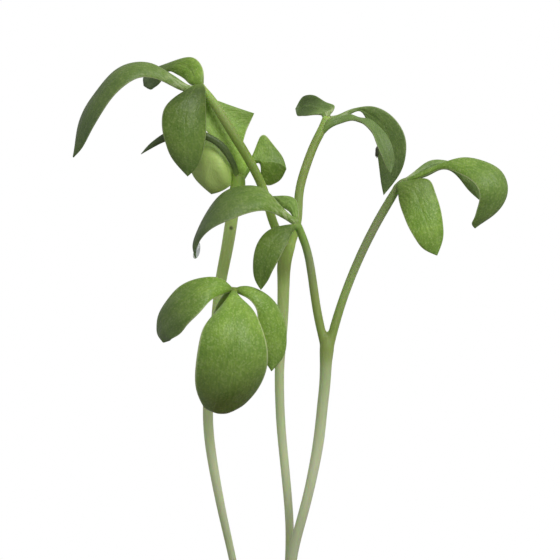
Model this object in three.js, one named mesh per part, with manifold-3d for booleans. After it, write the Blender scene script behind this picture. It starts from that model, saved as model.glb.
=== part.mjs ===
// Potted garden cress: three seedlings with divided seed leaves, standing in compost in a terracotta pot.
// Millimetres. +Z is up, the front faces -Y, and the origin is the middle of the pot's foot.

import * as THREE from "three";
import { mergeVertices } from "three/addons/utils/BufferGeometryUtils.js";
import Module from "manifold-3d";

const wasm = await Module();
wasm.setup();

// Pot
const POT_HEIGHT = 44;
const RIM_RADIUS = 25;
const COLLAR_HEIGHT = 11;
const COLLAR_STEP = 2.2;
const FOOT_RADIUS = 17;
const WALL = 2.8;
const FLOOR = 4.5;
const DRAIN_RADIUS = 4;
const EDGE_ROUND = 0.7;
const POT_SIDES = 48;

// Compost
const SOIL_BELOW_RIM = 6;
const SOIL_DOME = 1.2;
const DOME_SHARES = [1, 0.75, 0.4, 0];
const ROOT_DEPTH = 6;

// Space between pieces that touch in the real plant, and the shortest edge that a cut leaves
const GAP = 0.3;
const SHORTEST_EDGE = 0.01;

// Leaflets: a round foot that flattens into the blade, which thins towards the tip
const BLADE_THICKNESS = 0.42;
const FOOT_THICKNESS = 0.75;
const TIP_THICKNESS = 0.22;
const FOOT_SHARE = 0.25;
const THINS_FROM = 0.7;
const FOOT_DOME = 0.2;
const LEAF_STEPS = 13;
const LEAF_SIDES = 10;

// Stems and stalks
const STALK_DOME = 0.6;
const STEPS_PER_SPAN = 2;
const STALK_SIDES = 8;

const COLLAR_FOOT = POT_HEIGHT - COLLAR_HEIGHT;
const MOUTH_RADIUS = RIM_RADIUS - WALL - EDGE_ROUND;
const MOUTH_LOW = POT_HEIGHT - 1.5 * EDGE_ROUND;
const SOIL_TOP = POT_HEIGHT - SOIL_BELOW_RIM;
const ROOT_END = SOIL_TOP - ROOT_DEPTH;

// Each stalk is a list of [x, y, z, radius], from the root upward.
// Each leaflet is a list of ribs from its base to its tip: the two ends of a line across the blade.
// Seen with the upper side in front and the tip down, the left edge comes first.
// A folded leaflet also has the point of its fold between the two ends.
const LEFT_SEEDLING = {
  stalks: {
    left_stem: [
      [-1.6, 3, ROOT_END, 0.38],
      [-1.7, 3, SOIL_TOP, 0.38],
      [-2.4, 3, 44, 0.38],
      [-3.45, 3, 50, 0.38],
      [-4.75, 2.9, 57, 0.38],
      [-5.75, 2.7, 61.5, 0.42],
      [-6.48, 2.4, 65.2, 0.47],
      [-7.04, 2.2, 68.8, 0.51],
      [-7.22, 2, 72, 0.52],
      [-7.1, 2, 74.6, 0.54],
    ],
    left_top_stalk: [
      [-7.1, 2, 74.6, 0.5],
      [-6.6, 2.3, 79, 0.5],
      [-6.22, 2.7, 82.8, 0.53],
      [-5.83, 3, 85.5, 0.58],
      [-5.34, 2.6, 88, 0.61],
      [-4.86, 2.7, 91, 0.63],
      [-4.5, 2.7, 93.2, 0.68],
      [-4.2, 2.7, 94.6, 0.75],
      [-4.12, 2.7, 95.5, 0.6],
    ],
    left_front_stalk: [
      [-7.1, 2, 74.6, 0.45],
      [-7, 1, 76.6, 0.43],
      [-6.8, -0.6, 79, 0.42],
      [-6.3, -2.4, 81.3, 0.42],
      [-5.6, -3.4, 82.9, 0.43],
      [-4.95, -3.8, 83.8, 0.4],
    ],
  },
  leaflets: {
    left_front_leaflet_1: [
      [[-4.75, -4, 84.15], [-4.85, -4, 83.75]],
      [[-5.8, -4.5, 85.1], [-5.9, -5.2, 83.5]],
      [[-7.1, -4.8, 85.3], [-6.9, -6.4, 82.95]],
      [[-9.7, -4.6, 84.55], [-8.1, -7.2, 81.55]],
      [[-11.35, -4.1, 82.95], [-9.35, -7.2, 80.4]],
      [[-12.15, -3.7, 81.3], [-10.2, -6.7, 79.45]],
      [[-12.28, -3.6, 80.2], [-10.8, -6.1, 79.08]],
      [[-12.1, -3.8, 79.4], [-11.25, -5.3, 78.88]],
      [[-11.75, -4.4, 78.83]],
    ],
    left_front_leaflet_2: [
      [[-4.75, -4, 84.05], [-4.5, -4, 83.9]],
      [[-5.3, -5.6, 83.15], [-3.85, -5.6, 83.15]],
      [[-6.05, -6.8, 82.2], [-3.1, -6.6, 82.5]],
      [[-7.1, -8.3, 81.1], [-2.4, -7.6, 81.7]],
      [[-8, -9.5, 79], [-1.4, -8.7, 79]],
      [[-8.4, -9.2, 76.4], [-1.22, -8.6, 76.8]],
      [[-8.35, -7.9, 74.2], [-1.85, -7.6, 74.7]],
      [[-7.75, -6.3, 72.65], [-3.3, -6.4, 72.85]],
      [[-6.85, -5.7, 72.05], [-4.65, -5.7, 72.12]],
      [[-5.8, -5.3, 71.95]],
    ],
    left_front_leaflet_3: [
      [[-4.55, -3.9, 83.8], [-4.45, -3.9, 84.2]],
      [[-3.7, -4.6, 83.45], [-3.3, -3.8, 84.35]],
      [[-2.9, -5, 82.9], [-1.9, -3.6, 83.9]],
      [[-2.35, -5, 82], [-0.7, -3.2, 83.05]],
      [[-2.25, -4.8, 80.7], [0.3, -2.9, 81.5]],
      [[-2.2, -4.4, 79], [0.64, -2.9, 79.4]],
      [[-1.8, -4, 77.4], [0.3, -3, 77.3]],
      [[-0.85, -3.6, 75.9]],
    ],
    left_top_leaflet_1: [
      [[-3.6, 3, 94.9], [-4.3, 2.9, 95.2]],
      [[-3.4, 3, 97.2], [-4.95, 2.1, 97.35]],
      [[-3.7, 3.05, 98.2], [-5.75, 1.8, 98.6]],
      [[-3.55, 3.2, 99.4], [-7.4, 1.5, 100]],
      [[-3.2, 3.3, 100.35], [-7.7, 2.4, 103.2]],
      [[-2.85, 3.3, 101.1], [-5.6, 2.9, 102.75]],
      [[-2.58, 3.3, 101.72]],
    ],
    left_top_leaflet_2: [
      [[-4.5, 2.8, 95.8], [-4.4, 2.8, 95.3]],
      [[-4.75, 2.7, 95.6], [-5.3, 2.8, 97.1]],
      [[-4.75, 2.7, 95.15], [-6.3, 3, 98.4]],
      [[-4.8, 2.6, 94.7], [-8.1, 3.1, 99.3]],
      [[-5.4, 2.6, 94.15], [-9, 3.2, 97]],
      [[-6.1, 2.7, 93.8], [-8.6, 3.1, 95.25]],
      [[-6.85, 2.9, 93.6]],
    ],
    left_top_leaflet_3: [
      [[-4.1, 2.5, 95.3], [-4.7, 2.5, 95.1]],
      [[-4.35, 2.05, 96.6], [-4.85, 2.05, 96.2]],
      [[-4.85, 1.6, 97.6], [-5.25, 1.8, 97]],
      [[-5.5, 1.25, 98.6], [-5.9, 1.5, 97.9]],
      [[-6.6, 1.1, 99.4], [-6.7, 1.35, 98.65]],
      [[-8, 1.1, 100], [-8, 1.35, 99.2]],
      [[-9.6, 1.2, 100.2], [-9.5, 1.6, 99.35]],
      [[-11.2, 1.5, 99.9], [-11, 1.9, 99.05]],
      [[-12.5, 1.9, 99.1], [-12.3, 2.2, 98.5]],
      [[-13.3, 2.2, 98.4], [-13.2, 2.4, 98]],
      [[-13.95, 2.5, 97.6]],
    ],
    left_top_leaflet_4: [
      [[-3.5, 3.4, 95.1], [-3.8, 3.35, 95.5], [-4.05, 3.4, 95.8]],
      [[-2.85, 3.8, 96.2], [-2.98, 3.7, 96.62], [-3.1, 3.8, 96.95]],
      [[-2.35, 4, 96.7], [-2.4, 3.9, 97], [-2.5, 4.3, 98.2]],
      [[-1.98, 4.1, 96.5], [-2.02, 3.9, 96.88], [-2.15, 4.7, 99.1]],
      [[-1.88, 4.6, 95.3], [-1.83, 3.9, 96.88], [-1.88, 4.9, 99.5]],
      [[-1.55, 4.9, 94.68], [-1.55, 3.9, 96.87], [-1.55, 4.95, 99.57]],
      [[-1, 4.95, 94.5], [-0.95, 3.9, 96.85], [-0.9, 4.65, 98.9]],
      [[-0.25, 4.75, 94.82], [-0.2, 3.95, 96.72], [-0.15, 4.4, 97.95]],
      [[0.3, 4.5, 95.4], [0.35, 4, 96.45], [0.4, 4.2, 97.05]],
      [[0.65, 4.1, 96.15]],
    ],
  },
};

const MIDDLE_SEEDLING = {
  stalks: {
    middle_stem: [
      [0.9, 1, ROOT_END, 0.4],
      [0.85, 1, SOIL_TOP, 0.4],
      [0.7, 1, 46, 0.4],
      [0.72, 1, 52, 0.41],
      [0.93, 1, 57.35, 0.43],
      [0.97, 1, 59.5, 0.43],
      [0.91, 1, 61.4, 0.43],
      [0.66, 1, 64.5, 0.44],
      [0.37, 1, 67.45, 0.45],
      [0.1, 1, 70.45, 0.46],
      [-0.04, 1, 73.5, 0.47],
      [-0.05, 1, 76, 0.48],
      [0.2, 1.1, 80, 0.54],
      [0.33, 1.2, 83.5, 0.6],
      [0.36, 1.3, 85.2, 0.64],
      [0.45, 1.4, 86.8, 0.71],
      [0.95, 1.5, 88.6, 0.66],
    ],
    middle_left_stalk: [
      [0.8, 1.5, 88.2, 0.46],
      [-0.35, 1.35, 90, 0.45],
      [-1.48, 1.1, 93.5, 0.45],
      [-3.1, 0.9, 97, 0.47],
      [-5.3, 0.95, 100.6, 0.48],
      [-6.7, 1.4, 102.8, 0.46],
      [-7.8, 1.9, 104.2, 0.43],
    ],
    middle_right_stalk: [
      [1, 1.5, 88.4, 0.5],
      [1.75, 1.6, 91.2, 0.46],
      [1.9, 1.8, 93.5, 0.45],
      [2.65, 2.4, 96.5, 0.45],
      [3.65, 3.1, 99, 0.44],
      [4.35, 3.6, 100.4, 0.45],
      [4.7, 3.9, 101.3, 0.46],
    ],
  },
  leaflets: {
    middle_left_leaflet_1: [
      [[-7.9, 2, 104.6], [-8, 2, 104.1]],
      [[-9.1, 1.9, 104.5], [-9.3, 1.6, 103.85]],
      [[-10.1, 1.8, 105.1], [-10.4, 1.3, 104.2]],
      [[-11.3, 1.8, 105.85], [-11.7, 0.8, 104.85]],
      [[-13, 1.8, 106.7], [-13.1, 0.2, 105.25]],
      [[-14.9, 1.7, 106.72], [-14.3, -0.4, 105.15]],
      [[-16.7, 1.7, 105.85], [-15.7, -0.9, 104.3]],
      [[-18.15, 1.7, 104.15], [-16.9, -1.1, 103.05]],
      [[-19.45, 1.6, 102.25], [-17.95, -1, 101.4]],
      [[-20.2, 1.3, 100.4], [-18.95, -0.6, 99.65]],
      [[-20.5, 1, 98.75], [-19.85, 0.1, 98.1]],
      [[-20.7, 0.8, 97.25]],
    ],
    middle_left_leaflet_2: [
      [[-7.7, 2.2, 104.6], [-8.1, 2.4, 104.4]],
      [[-7.65, 2.3, 105.4], [-8.8, 2.8, 104.5]],
      [[-7.87, 2.8, 106.5], [-9.55, 3.4, 105.1]],
      [[-8.75, 3.4, 107.32], [-10.4, 4, 105.65]],
      [[-10.2, 4.3, 107.15], [-11.2, 4.6, 105.9]],
      [[-11.7, 5.3, 106.65], [-11.9, 5.1, 105.05]],
      [[-12.9, 5.9, 106.1], [-12.35, 5.6, 104.5]],
      [[-13.5, 6.1, 105.6], [-12.72, 5.8, 104.25]],
      [[-13.78, 6.2, 105.1], [-13.2, 6, 104.18]],
      [[-13.68, 6.2, 104.5]],
    ],
    middle_left_leaflet_3: [
      [[-8.4, 1.9, 104.3], [-7.65, 1.9, 104.45]],
      [[-9.4, 1.2, 103.95], [-7.5, 1.5, 104.2]],
      [[-10.2, 0.8, 103.55], [-7.45, 1.1, 103.5]],
      [[-11.3, 0.2, 102.6], [-7.4, 0.7, 102.3]],
      [[-11.8, -0.1, 101.3], [-7.38, 0.4, 100.9]],
      [[-11.75, -0.2, 99.8], [-7.4, 0.3, 99.6]],
      [[-11.45, -0.1, 98.7], [-7.55, 0.3, 98.4]],
      [[-10.9, 0.1, 97.3], [-7.95, 0.4, 97]],
      [[-10.1, 0.3, 96.25], [-8.5, 0.5, 96.05]],
      [[-9.25, 0.5, 95.35]],
    ],
    middle_right_leaflet_1: [
      [[4.3, 4.1, 101.2], [5.05, 4.1, 101.35]],
      [[4.15, 4.3, 101.5], [5.15, 4.3, 101.8]],
      [[3.95, 4.6, 101.62], [5.5, 4.7, 102.33]],
      [[3.4, 5, 101.6], [4.8, 5.3, 102.82]],
      [[2.7, 5.6, 101.48], [3.65, 6, 103.48]],
      [[2, 6.2, 101.48], [2.65, 6.6, 103.6]],
      [[1.65, 6.6, 101.7], [1.95, 6.9, 103]],
      [[1.55, 6.8, 102.2]],
    ],
    middle_right_leaflet_2: [
      [[5, 4, 100.85], [4.9, 4, 101.45]],
      [[5.8, 4.2, 101.1], [5.65, 4.2, 101.55]],
      [[7.2, 4.6, 101.7], [7, 4.6, 102.12]],
      [[8.15, 4.7, 101.88], [8.1, 4.6, 102.38]],
      [[8.75, 4.8, 100.95], [9.15, 4.4, 102.45]],
      [[9.4, 4.8, 100], [10.8, 4.1, 101.8]],
      [[9.7, 4.7, 98.9], [12.05, 3.7, 100.45]],
      [[9.8, 4.6, 97.6], [12.63, 3.5, 98.9]],
      [[9.95, 4.5, 96.3], [12.55, 3.6, 97.15]],
      [[10.1, 4.5, 95], [12.05, 4, 95.7]],
      [[10.4, 4.7, 93.5]],
    ],
    middle_right_leaflet_3: [
      [[4.7, 3.6, 101], [4.1, 3.3, 99.2]],
      [[5.5, 3.6, 101.35], [5.12, 3.45, 100.25]],
      [[6.3, 3.6, 101.5], [6.1, 3.4, 100.7]],
      [[7.2, 3.4, 101.6], [7.15, 3, 101]],
      [[7.95, 3.3, 101.28], [8, 2.7, 100.92]],
      [[8.75, 3.2, 101.2], [8.5, 2.3, 100.6]],
      [[9.55, 3.1, 100.75], [9.15, 1.9, 99.95]],
      [[10.4, 2.7, 99.9], [9.5, 1.5, 99.2]],
      [[11.1, 2.3, 98.8], [9.8, 1.2, 98.3]],
      [[11.42, 2.1, 97.7], [10.25, 1.1, 97.25]],
      [[11.42, 2, 96.6], [10.65, 1.3, 96.3]],
      [[11.05, 1.6, 95.65]],
    ],
  },
};

const RIGHT_SEEDLING = {
  stalks: {
    right_stem: [
      [-0.2, -1.5, ROOT_END, 0.46],
      [-0.1, -1.5, SOIL_TOP, 0.46],
      [0.2, -1.5, 45, 0.46],
      [0.7, -1.5, 52, 0.47],
      [1.1, -1.5, 56.3, 0.49],
      [1.4, -1.5, 58.15, 0.5],
      [2, -1.5, 60.55, 0.5],
      [2.65, -1.5, 62.95, 0.5],
      [3.3, -1.6, 65.85, 0.52],
      [3.86, -1.7, 69, 0.55],
      [4.25, -1.8, 72.5, 0.55],
      [4.5, -1.9, 75, 0.57],
      [4.62, -2, 77.4, 0.67],
      [4.7, -2, 78.6, 0.7],
      [4.72, -2, 79.4, 0.48],
    ],
    right_inner_stalk: [
      [4.6, -2, 78, 0.5],
      [3.78, -2, 81.5, 0.44],
      [3.17, -2.1, 85.5, 0.43],
      [2.62, -2.3, 88.2, 0.41],
      [1.75, -2.5, 90.5, 0.43],
    ],
    right_outer_stalk: [
      [4.8, -2, 78, 0.52],
      [5.93, -2.1, 82, 0.44],
      [7.62, -2.4, 86.5, 0.43],
      [9.72, -2.7, 90.8, 0.44],
      [11.6, -3, 94, 0.44],
    ],
  },
  leaflets: {
    right_inner_leaflet_1: [
      [[1.8, -2.7, 91], [1.4, -2.7, 90.4]],
      [[0.8, -2.8, 91.7], [0.4, -3.1, 91.1]],
      [[-0.3, -2.9, 92.8], [-0.7, -4, 91.65]],
      [[-1.6, -3, 94.05], [-1.7, -5, 91.9]],
      [[-3.6, -3, 94.4], [-3.4, -5.6, 91.6]],
      [[-5.45, -3, 93.88], [-4.9, -6.1, 91]],
      [[-7, -3.2, 92.15], [-6.4, -6.2, 90.3]],
      [[-8.15, -4, 89.9], [-7.7, -5.8, 89.3]],
      [[-8.7, -4.7, 88.3], [-8.25, -5.1, 88.25]],
      [[-8.4, -4.9, 87.2]],
    ],
    right_inner_leaflet_2: [
      [[1.4, -2.9, 90.5], [1.7, -2.9, 90.2]],
      [[0.6, -3.3, 90.44], [1.3, -3.7, 89.8]],
      [[-0.8, -3.7, 90.15], [0.85, -4.7, 88.9]],
      [[-1.95, -4.1, 89.2], [0.32, -5.2, 87.85]],
      [[-2.55, -4.4, 87.8], [-0.28, -5.4, 86.75]],
      [[-2.7, -4.5, 86.4], [-0.8, -5.2, 85.75]],
      [[-2.5, -4.5, 85], [-1.25, -4.8, 84.85]],
      [[-1.9, -4.5, 84]],
    ],
    right_inner_leaflet_3: [
      [[1.85, -2.5, 90.9], [1.5, -2.5, 90.8]],
      [[1.85, -2.2, 91.7], [1.25, -2.2, 91.3]],
      [[1.8, -1.8, 92.35], [0.85, -1.9, 91.86]],
      [[1.6, -1.4, 93], [0.3, -1.5, 92.2]],
      [[0.95, -1.1, 93.37], [-0.2, -1.2, 92.65]],
      [[0.1, -0.9, 93.4], [-0.55, -1, 93]],
      [[-0.95, -0.8, 93.35]],
    ],
    right_outer_leaflet_1: [
      [[11.7, -3.2, 94.3], [12, -3.2, 94.6]],
      [[11.75, -3.8, 93.7], [13, -3.7, 94.95]],
      [[11.85, -4, 92.9], [14.4, -3.8, 95.15]],
      [[12.25, -4.4, 91.6], [15.4, -4, 94]],
      [[12.8, -4.8, 90.25], [15.95, -4.4, 92.3]],
      [[13.5, -5, 89.05], [16.25, -4.6, 90.6]],
      [[14.4, -4.9, 88], [16.2, -4.7, 88.9]],
      [[15.65, -4.8, 87.42]],
    ],
    right_outer_leaflet_2: [
      [[12, -3.2, 94.3], [11.9, -3.2, 94.65]],
      [[13.4, -3.7, 95], [13.3, -3.6, 95.42]],
      [[14.8, -4, 95.55], [14.8, -3.8, 96.08]],
      [[16.3, -4.3, 96.08], [16.6, -3.9, 96.78]],
      [[17.8, -5.3, 95.62], [18.35, -4, 97.2]],
      [[19, -6.1, 94.95], [20.4, -4.2, 96.8]],
      [[19.68, -6.4, 94.15], [22.05, -4.4, 95.85]],
      [[19.86, -6.2, 93.15], [22.72, -4.6, 94.35]],
      [[19.6, -5.5, 92.1], [22.4, -4.7, 92.75]],
      [[19.28, -5, 91.1], [21.3, -4.5, 91.45]],
      [[19.12, -4.5, 90.5], [20.2, -4.3, 90.7]],
      [[19.4, -4.2, 90.15]],
    ],
    right_outer_leaflet_3: [
      [[12.05, -2.6, 94.45], [12, -2.6, 94.85]],
      [[13.1, -2, 94.9], [13.1, -2, 95.6]],
      [[14.7, -1.3, 95.35], [14.2, -1.3, 96.5]],
      [[16, -0.9, 95.98], [15.4, -0.9, 97.03]],
      [[17.1, -0.7, 95.85], [17, -0.8, 96.85]],
      [[18.1, -0.6, 94.9], [18.6, -0.7, 96.1]],
      [[18.9, -0.5, 93.9], [20, -0.7, 94.8]],
      [[19.9, -0.6, 93]],
    ],
  },
};

const SEEDLINGS = [LEFT_SEEDLING, MIDDLE_SEEDLING, RIGHT_SEEDLING];

// How far a blade swells between its edges, as a share of its half width
const CAMBER = 0.3;
const OTHER_CAMBERS = {
  left_front_leaflet_1: 0.1,
  left_front_leaflet_2: 0.36,
  left_top_leaflet_1: 0,
  left_top_leaflet_2: -0.38,
  left_top_leaflet_4: 0,
  middle_left_leaflet_1: 0.2,
  middle_left_leaflet_2: 0.12,
  middle_right_leaflet_2: -0.1,
  right_inner_leaflet_1: 0.2,
  right_inner_leaflet_2: 0.05,
  right_outer_leaflet_1: 0.15,
  right_outer_leaflet_2: 0.18,
};

const POT_MATERIAL = new THREE.MeshStandardMaterial({ color: 0xb5653f, roughness: 0.85, metalness: 0 });
const SOIL_MATERIAL = new THREE.MeshStandardMaterial({ color: 0x3a2a1f, roughness: 1, metalness: 0 });
const STALK_MATERIAL = new THREE.MeshStandardMaterial({ color: 0x8ba152, roughness: 0.45, metalness: 0 });
const LEAF_MATERIAL = new THREE.MeshStandardMaterial({ color: 0x5f8c33, roughness: 0.42, metalness: 0 });

// A smooth curve through points, that can be read at any share of its number of spans.
function curveThrough(points) {
  return new THREE.CatmullRomCurve3(points.map((p) => new THREE.Vector3(...p)), false, "centripetal");
}

// The closed surface over rings that turn anticlockwise about the way they run, with a point at each end.
function skin(rings, start, end) {
  const sides = rings[0].length;
  const points = [start, ...rings.flat(), end];
  const last = points.length - 1;
  const faces = [];
  for (let k = 0; k < sides; k++) {
    const next = (k + 1) % sides;
    faces.push(0, 1 + next, 1 + k);
    for (let r = 0; r < rings.length - 1; r++) {
      const low = 1 + r * sides;
      const high = low + sides;
      faces.push(low + k, low + next, high + next, low + k, high + next, high + k);
    }
    faces.push(last, last - sides + k, last - sides + next);
  }
  const geometry = new THREE.BufferGeometry().setFromPoints(points);
  geometry.setIndex(faces);
  return geometry;
}

// The points of an oval about centre, from the end of u towards the end of v.
function oval(centre, u, v, sides) {
  return Array.from({ length: sides }, (_, k) => {
    const turn = (2 * Math.PI * k) / sides;
    return centre.clone().addScaledVector(u, Math.cos(turn)).addScaledVector(v, Math.sin(turn));
  });
}

// A round stalk that tapers along its line, with domed ends. grow makes it thicker on every side.
function stalkGeometry(line, grow = 0) {
  const path = curveThrough(line.map((p) => p.slice(0, 3)));
  const spans = line.length - 1;
  const steps = spans * STEPS_PER_SPAN;
  const sideways = new THREE.Vector3(1, 0, 0);
  const rings = [];
  for (let i = 0; i <= steps; i++) {
    const at = (i / steps) * spans;
    const low = Math.min(Math.floor(at), spans - 1);
    const radius = THREE.MathUtils.lerp(line[low][3], line[low + 1][3], at - low) + grow;
    const along = path.getTangent(i / steps);
    const side = sideways.clone().projectOnPlane(along).setLength(radius);
    rings.push(oval(path.getPoint(i / steps), side, along.cross(side), STALK_SIDES));
  }
  const start = path.getPoint(0).addScaledVector(path.getTangent(0), -STALK_DOME * line[0][3] - grow);
  const end = path.getPoint(1).addScaledVector(path.getTangent(1), STALK_DOME * line[spans][3] + grow);
  return skin(rings, start, end);
}

// A leaflet: a thin blade between its two edges, swelling between them, on a short round foot.
function leafletGeometry(ribs, camber, grow = 0) {
  const left = curveThrough(ribs.map((rib) => rib[0]));
  const right = curveThrough(ribs.map((rib) => rib.at(-1)));
  const folded = ribs[0].length === 3;
  const fold = curveThrough(ribs.map((rib) => rib[1] ?? rib[0]));
  const middle = (t) => (folded ? fold.getPoint(t) : left.getPoint(t).lerp(right.getPoint(t), 0.5));
  const rings = [];
  for (let i = 0; i < LEAF_STEPS; i++) {
    const t = i / LEAF_STEPS;
    const centre = middle(t);
    const toLeft = left.getPoint(t).sub(centre);
    const toRight = right.getPoint(t).sub(centre);
    const across = toRight.clone().sub(toLeft);
    const along = left.getTangent(t).add(right.getTangent(t));
    const up = along.cross(across).normalize();
    const blade = THREE.MathUtils.smoothstep(t, 0, FOOT_SHARE);
    const body = THREE.MathUtils.lerp(FOOT_THICKNESS, BLADE_THICKNESS, blade);
    const thin = THREE.MathUtils.smoothstep(t, THINS_FROM, 1);
    const depth = THREE.MathUtils.lerp(body, TIP_THICKNESS, thin) / 2 + grow;
    const swell = (camber * blade * across.length()) / 2;
    const section = Array.from({ length: LEAF_SIDES }, (_, k) => {
      const turn = (2 * Math.PI * k) / LEAF_SIDES;
      const side = Math.cos(turn) > 0 ? toRight : toLeft;
      const sideways = side.clone().setLength((side.length() + grow) * Math.abs(Math.cos(turn)));
      const rise = depth * Math.sin(turn) + swell * Math.sin(turn) ** 2;
      return centre.clone().add(sideways).addScaledVector(up, rise);
    });
    rings.push(section);
  }
  const foot = left.getTangent(0).add(right.getTangent(0)).setLength(FOOT_DOME + grow);
  const beyond = left.getTangent(1).add(right.getTangent(1)).setLength(grow);
  return skin(rings, middle(0).sub(foot), middle(1).add(beyond));
}

function toSolid(geometry) {
  const plain = new THREE.BufferGeometry().setAttribute("position", geometry.getAttribute("position"));
  plain.setIndex(geometry.getIndex());
  const merged = mergeVertices(plain, 1e-4);
  return new wasm.Manifold(
    new wasm.Mesh({
      numProp: 3,
      vertProperties: merged.getAttribute("position").array,
      triVerts: new Uint32Array(merged.getIndex().array),
    }),
  );
}

function toGeometry(solid) {
  const mesh = solid.getMesh();
  const geometry = new THREE.BufferGeometry();
  geometry.setAttribute("position", new THREE.BufferAttribute(mesh.vertProperties, 3));
  geometry.setIndex(new THREE.BufferAttribute(mesh.triVerts, 1));
  return geometry;
}

// A piece less the space that its neighbours need, keeping only its largest body.
function clearOf(geometry, neighbours) {
  const cut = neighbours.reduce((solid, other) => solid.subtract(toSolid(other)), toSolid(geometry));
  const bodies = cut.decompose().sort((a, b) => b.volume() - a.volume());
  return toGeometry(bodies[0].simplify(SHORTEST_EDGE));
}

// A turned solid from its half outline, as [radius, height] pairs.
function lathe(profile) {
  const closed = [...profile, profile[0]].map(([radius, z]) => new THREE.Vector2(radius, z));
  return new THREE.LatheGeometry(closed, POT_SIDES).rotateX(Math.PI / 2);
}

// The outer radius of the pot's tapering wall, below the collar.
function wallRadius(z) {
  return THREE.MathUtils.mapLinear(z, 0, COLLAR_FOOT, FOOT_RADIUS, RIM_RADIUS - COLLAR_STEP);
}

// The pot: tapering wall, thick collar with rounded edges, flat floor with a drainage hole.
function potGeometry() {
  const underCollar = wallRadius(COLLAR_FOOT);
  const floorEdge = wallRadius(FLOOR) - WALL;
  return lathe([
    [DRAIN_RADIUS, 0],
    [FOOT_RADIUS - EDGE_ROUND, 0],
    [FOOT_RADIUS, EDGE_ROUND],
    [underCollar, COLLAR_FOOT],
    [RIM_RADIUS - 2 * EDGE_ROUND, COLLAR_FOOT],
    [RIM_RADIUS - EDGE_ROUND, COLLAR_FOOT + EDGE_ROUND],
    [RIM_RADIUS, MOUTH_LOW],
    [RIM_RADIUS - EDGE_ROUND, POT_HEIGHT],
    [MOUTH_RADIUS + EDGE_ROUND, POT_HEIGHT],
    [MOUTH_RADIUS, MOUTH_LOW],
    [underCollar - WALL, COLLAR_FOOT],
    [floorEdge, FLOOR + EDGE_ROUND],
    [floorEdge - EDGE_ROUND, FLOOR],
    [DRAIN_RADIUS, FLOOR],
  ]);
}

// The compost: a plug that follows the inside of the pot, with a slightly domed top.
function soilGeometry() {
  const inside = (z) => wallRadius(z) - WALL - GAP;
  const throat = inside(COLLAR_FOOT);
  const shoulder = THREE.MathUtils.mapLinear(SOIL_TOP, COLLAR_FOOT, MOUTH_LOW, throat, MOUTH_RADIUS - GAP);
  return lathe([
    [0, FLOOR + GAP],
    [inside(FLOOR) - EDGE_ROUND, FLOOR + GAP],
    [inside(FLOOR + EDGE_ROUND), FLOOR + GAP + EDGE_ROUND],
    [throat, COLLAR_FOOT],
    ...DOME_SHARES.map((share) => [shoulder * share, SOIL_TOP + SOIL_DOME * (1 - share ** 2)]),
  ]);
}

function named(name, geometry, material) {
  const mesh = new THREE.Mesh(geometry, material);
  mesh.name = name;
  geometry.computeVertexNormals();
  return mesh;
}

// What is in the way of the next piece: every piece so far, with GAP around it.
const taken = [];

// A piece that stops short of the pieces before it. shape(grow) makes it, thicker by grow on every side.
function place(name, shape, material) {
  const mesh = named(name, clearOf(shape(0), taken), material);
  taken.push(shape(GAP));
  return mesh;
}

const root = new THREE.Group();
root.add(named("pot", potGeometry(), POT_MATERIAL));
for (const { stalks } of SEEDLINGS) {
  for (const [name, line] of Object.entries(stalks)) {
    root.add(place(name, (grow) => stalkGeometry(line, grow), STALK_MATERIAL));
  }
}
root.add(named("soil", clearOf(soilGeometry(), taken), SOIL_MATERIAL));
for (const { leaflets } of SEEDLINGS) {
  for (const [name, ribs] of Object.entries(leaflets)) {
    const camber = OTHER_CAMBERS[name] ?? CAMBER;
    root.add(place(name, (grow) => leafletGeometry(ribs, camber, grow), LEAF_MATERIAL));
  }
}

export default root;
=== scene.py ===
import bmesh
import bpy
import numpy as np
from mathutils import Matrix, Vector, noise


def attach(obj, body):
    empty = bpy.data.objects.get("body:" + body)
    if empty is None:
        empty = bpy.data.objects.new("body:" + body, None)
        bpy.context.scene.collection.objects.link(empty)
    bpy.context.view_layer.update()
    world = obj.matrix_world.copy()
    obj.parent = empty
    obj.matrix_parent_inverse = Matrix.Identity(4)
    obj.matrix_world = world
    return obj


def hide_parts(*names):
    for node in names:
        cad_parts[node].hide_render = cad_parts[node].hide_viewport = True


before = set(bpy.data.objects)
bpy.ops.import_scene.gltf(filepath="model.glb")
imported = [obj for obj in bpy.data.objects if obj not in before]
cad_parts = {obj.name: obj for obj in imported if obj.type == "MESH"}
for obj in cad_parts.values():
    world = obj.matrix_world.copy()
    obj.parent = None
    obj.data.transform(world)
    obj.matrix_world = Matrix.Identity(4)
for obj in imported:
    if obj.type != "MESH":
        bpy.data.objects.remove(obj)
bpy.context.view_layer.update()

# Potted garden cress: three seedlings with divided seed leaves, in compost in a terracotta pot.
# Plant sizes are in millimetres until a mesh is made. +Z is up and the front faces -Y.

MM = 0.001
BODY = "root"

# Camera: level with the middle of the plants, far off with a long lens
VIEW_WIDTH = 56 * MM
VIEW_HEIGHT = 85 * MM
VIEW_DISTANCE = 1.2
SENSOR = 36.0

# A soft light from above at the front right, in metres and watts
LIGHT_PLACE = (0.37, -0.56, 0.55)
LIGHT_SIZE = 0.55
LIGHT_POWER = 3

# The world's light grows between two heights of its direction, where -1 is down and 1 is up
WORLD_HEIGHTS = (-0.5, 0.8)
WORLD_STRENGTHS = (0.36, 0.66)

# Leaflets
BLADE_THICKNESS = 0.42
TIP_THICKNESS = 0.2
FOOT_SHARE = 0.22
FOOT_THICKNESS = 0.8
FOOT_DOME = 0.2
THINS_FROM = 0.7
TIP_CROWDING = 1.35
UNEVENNESS = 0.025
LEAF_STEPS = 64
HALF_SIDES = 14
MIDRIB_DEPTH = 0.03
MIDRIB_WIDTH = 0.11
GRAIN_APART = 7
TONE_BY = 0.7
GREY_FROM = 0.3

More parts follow.
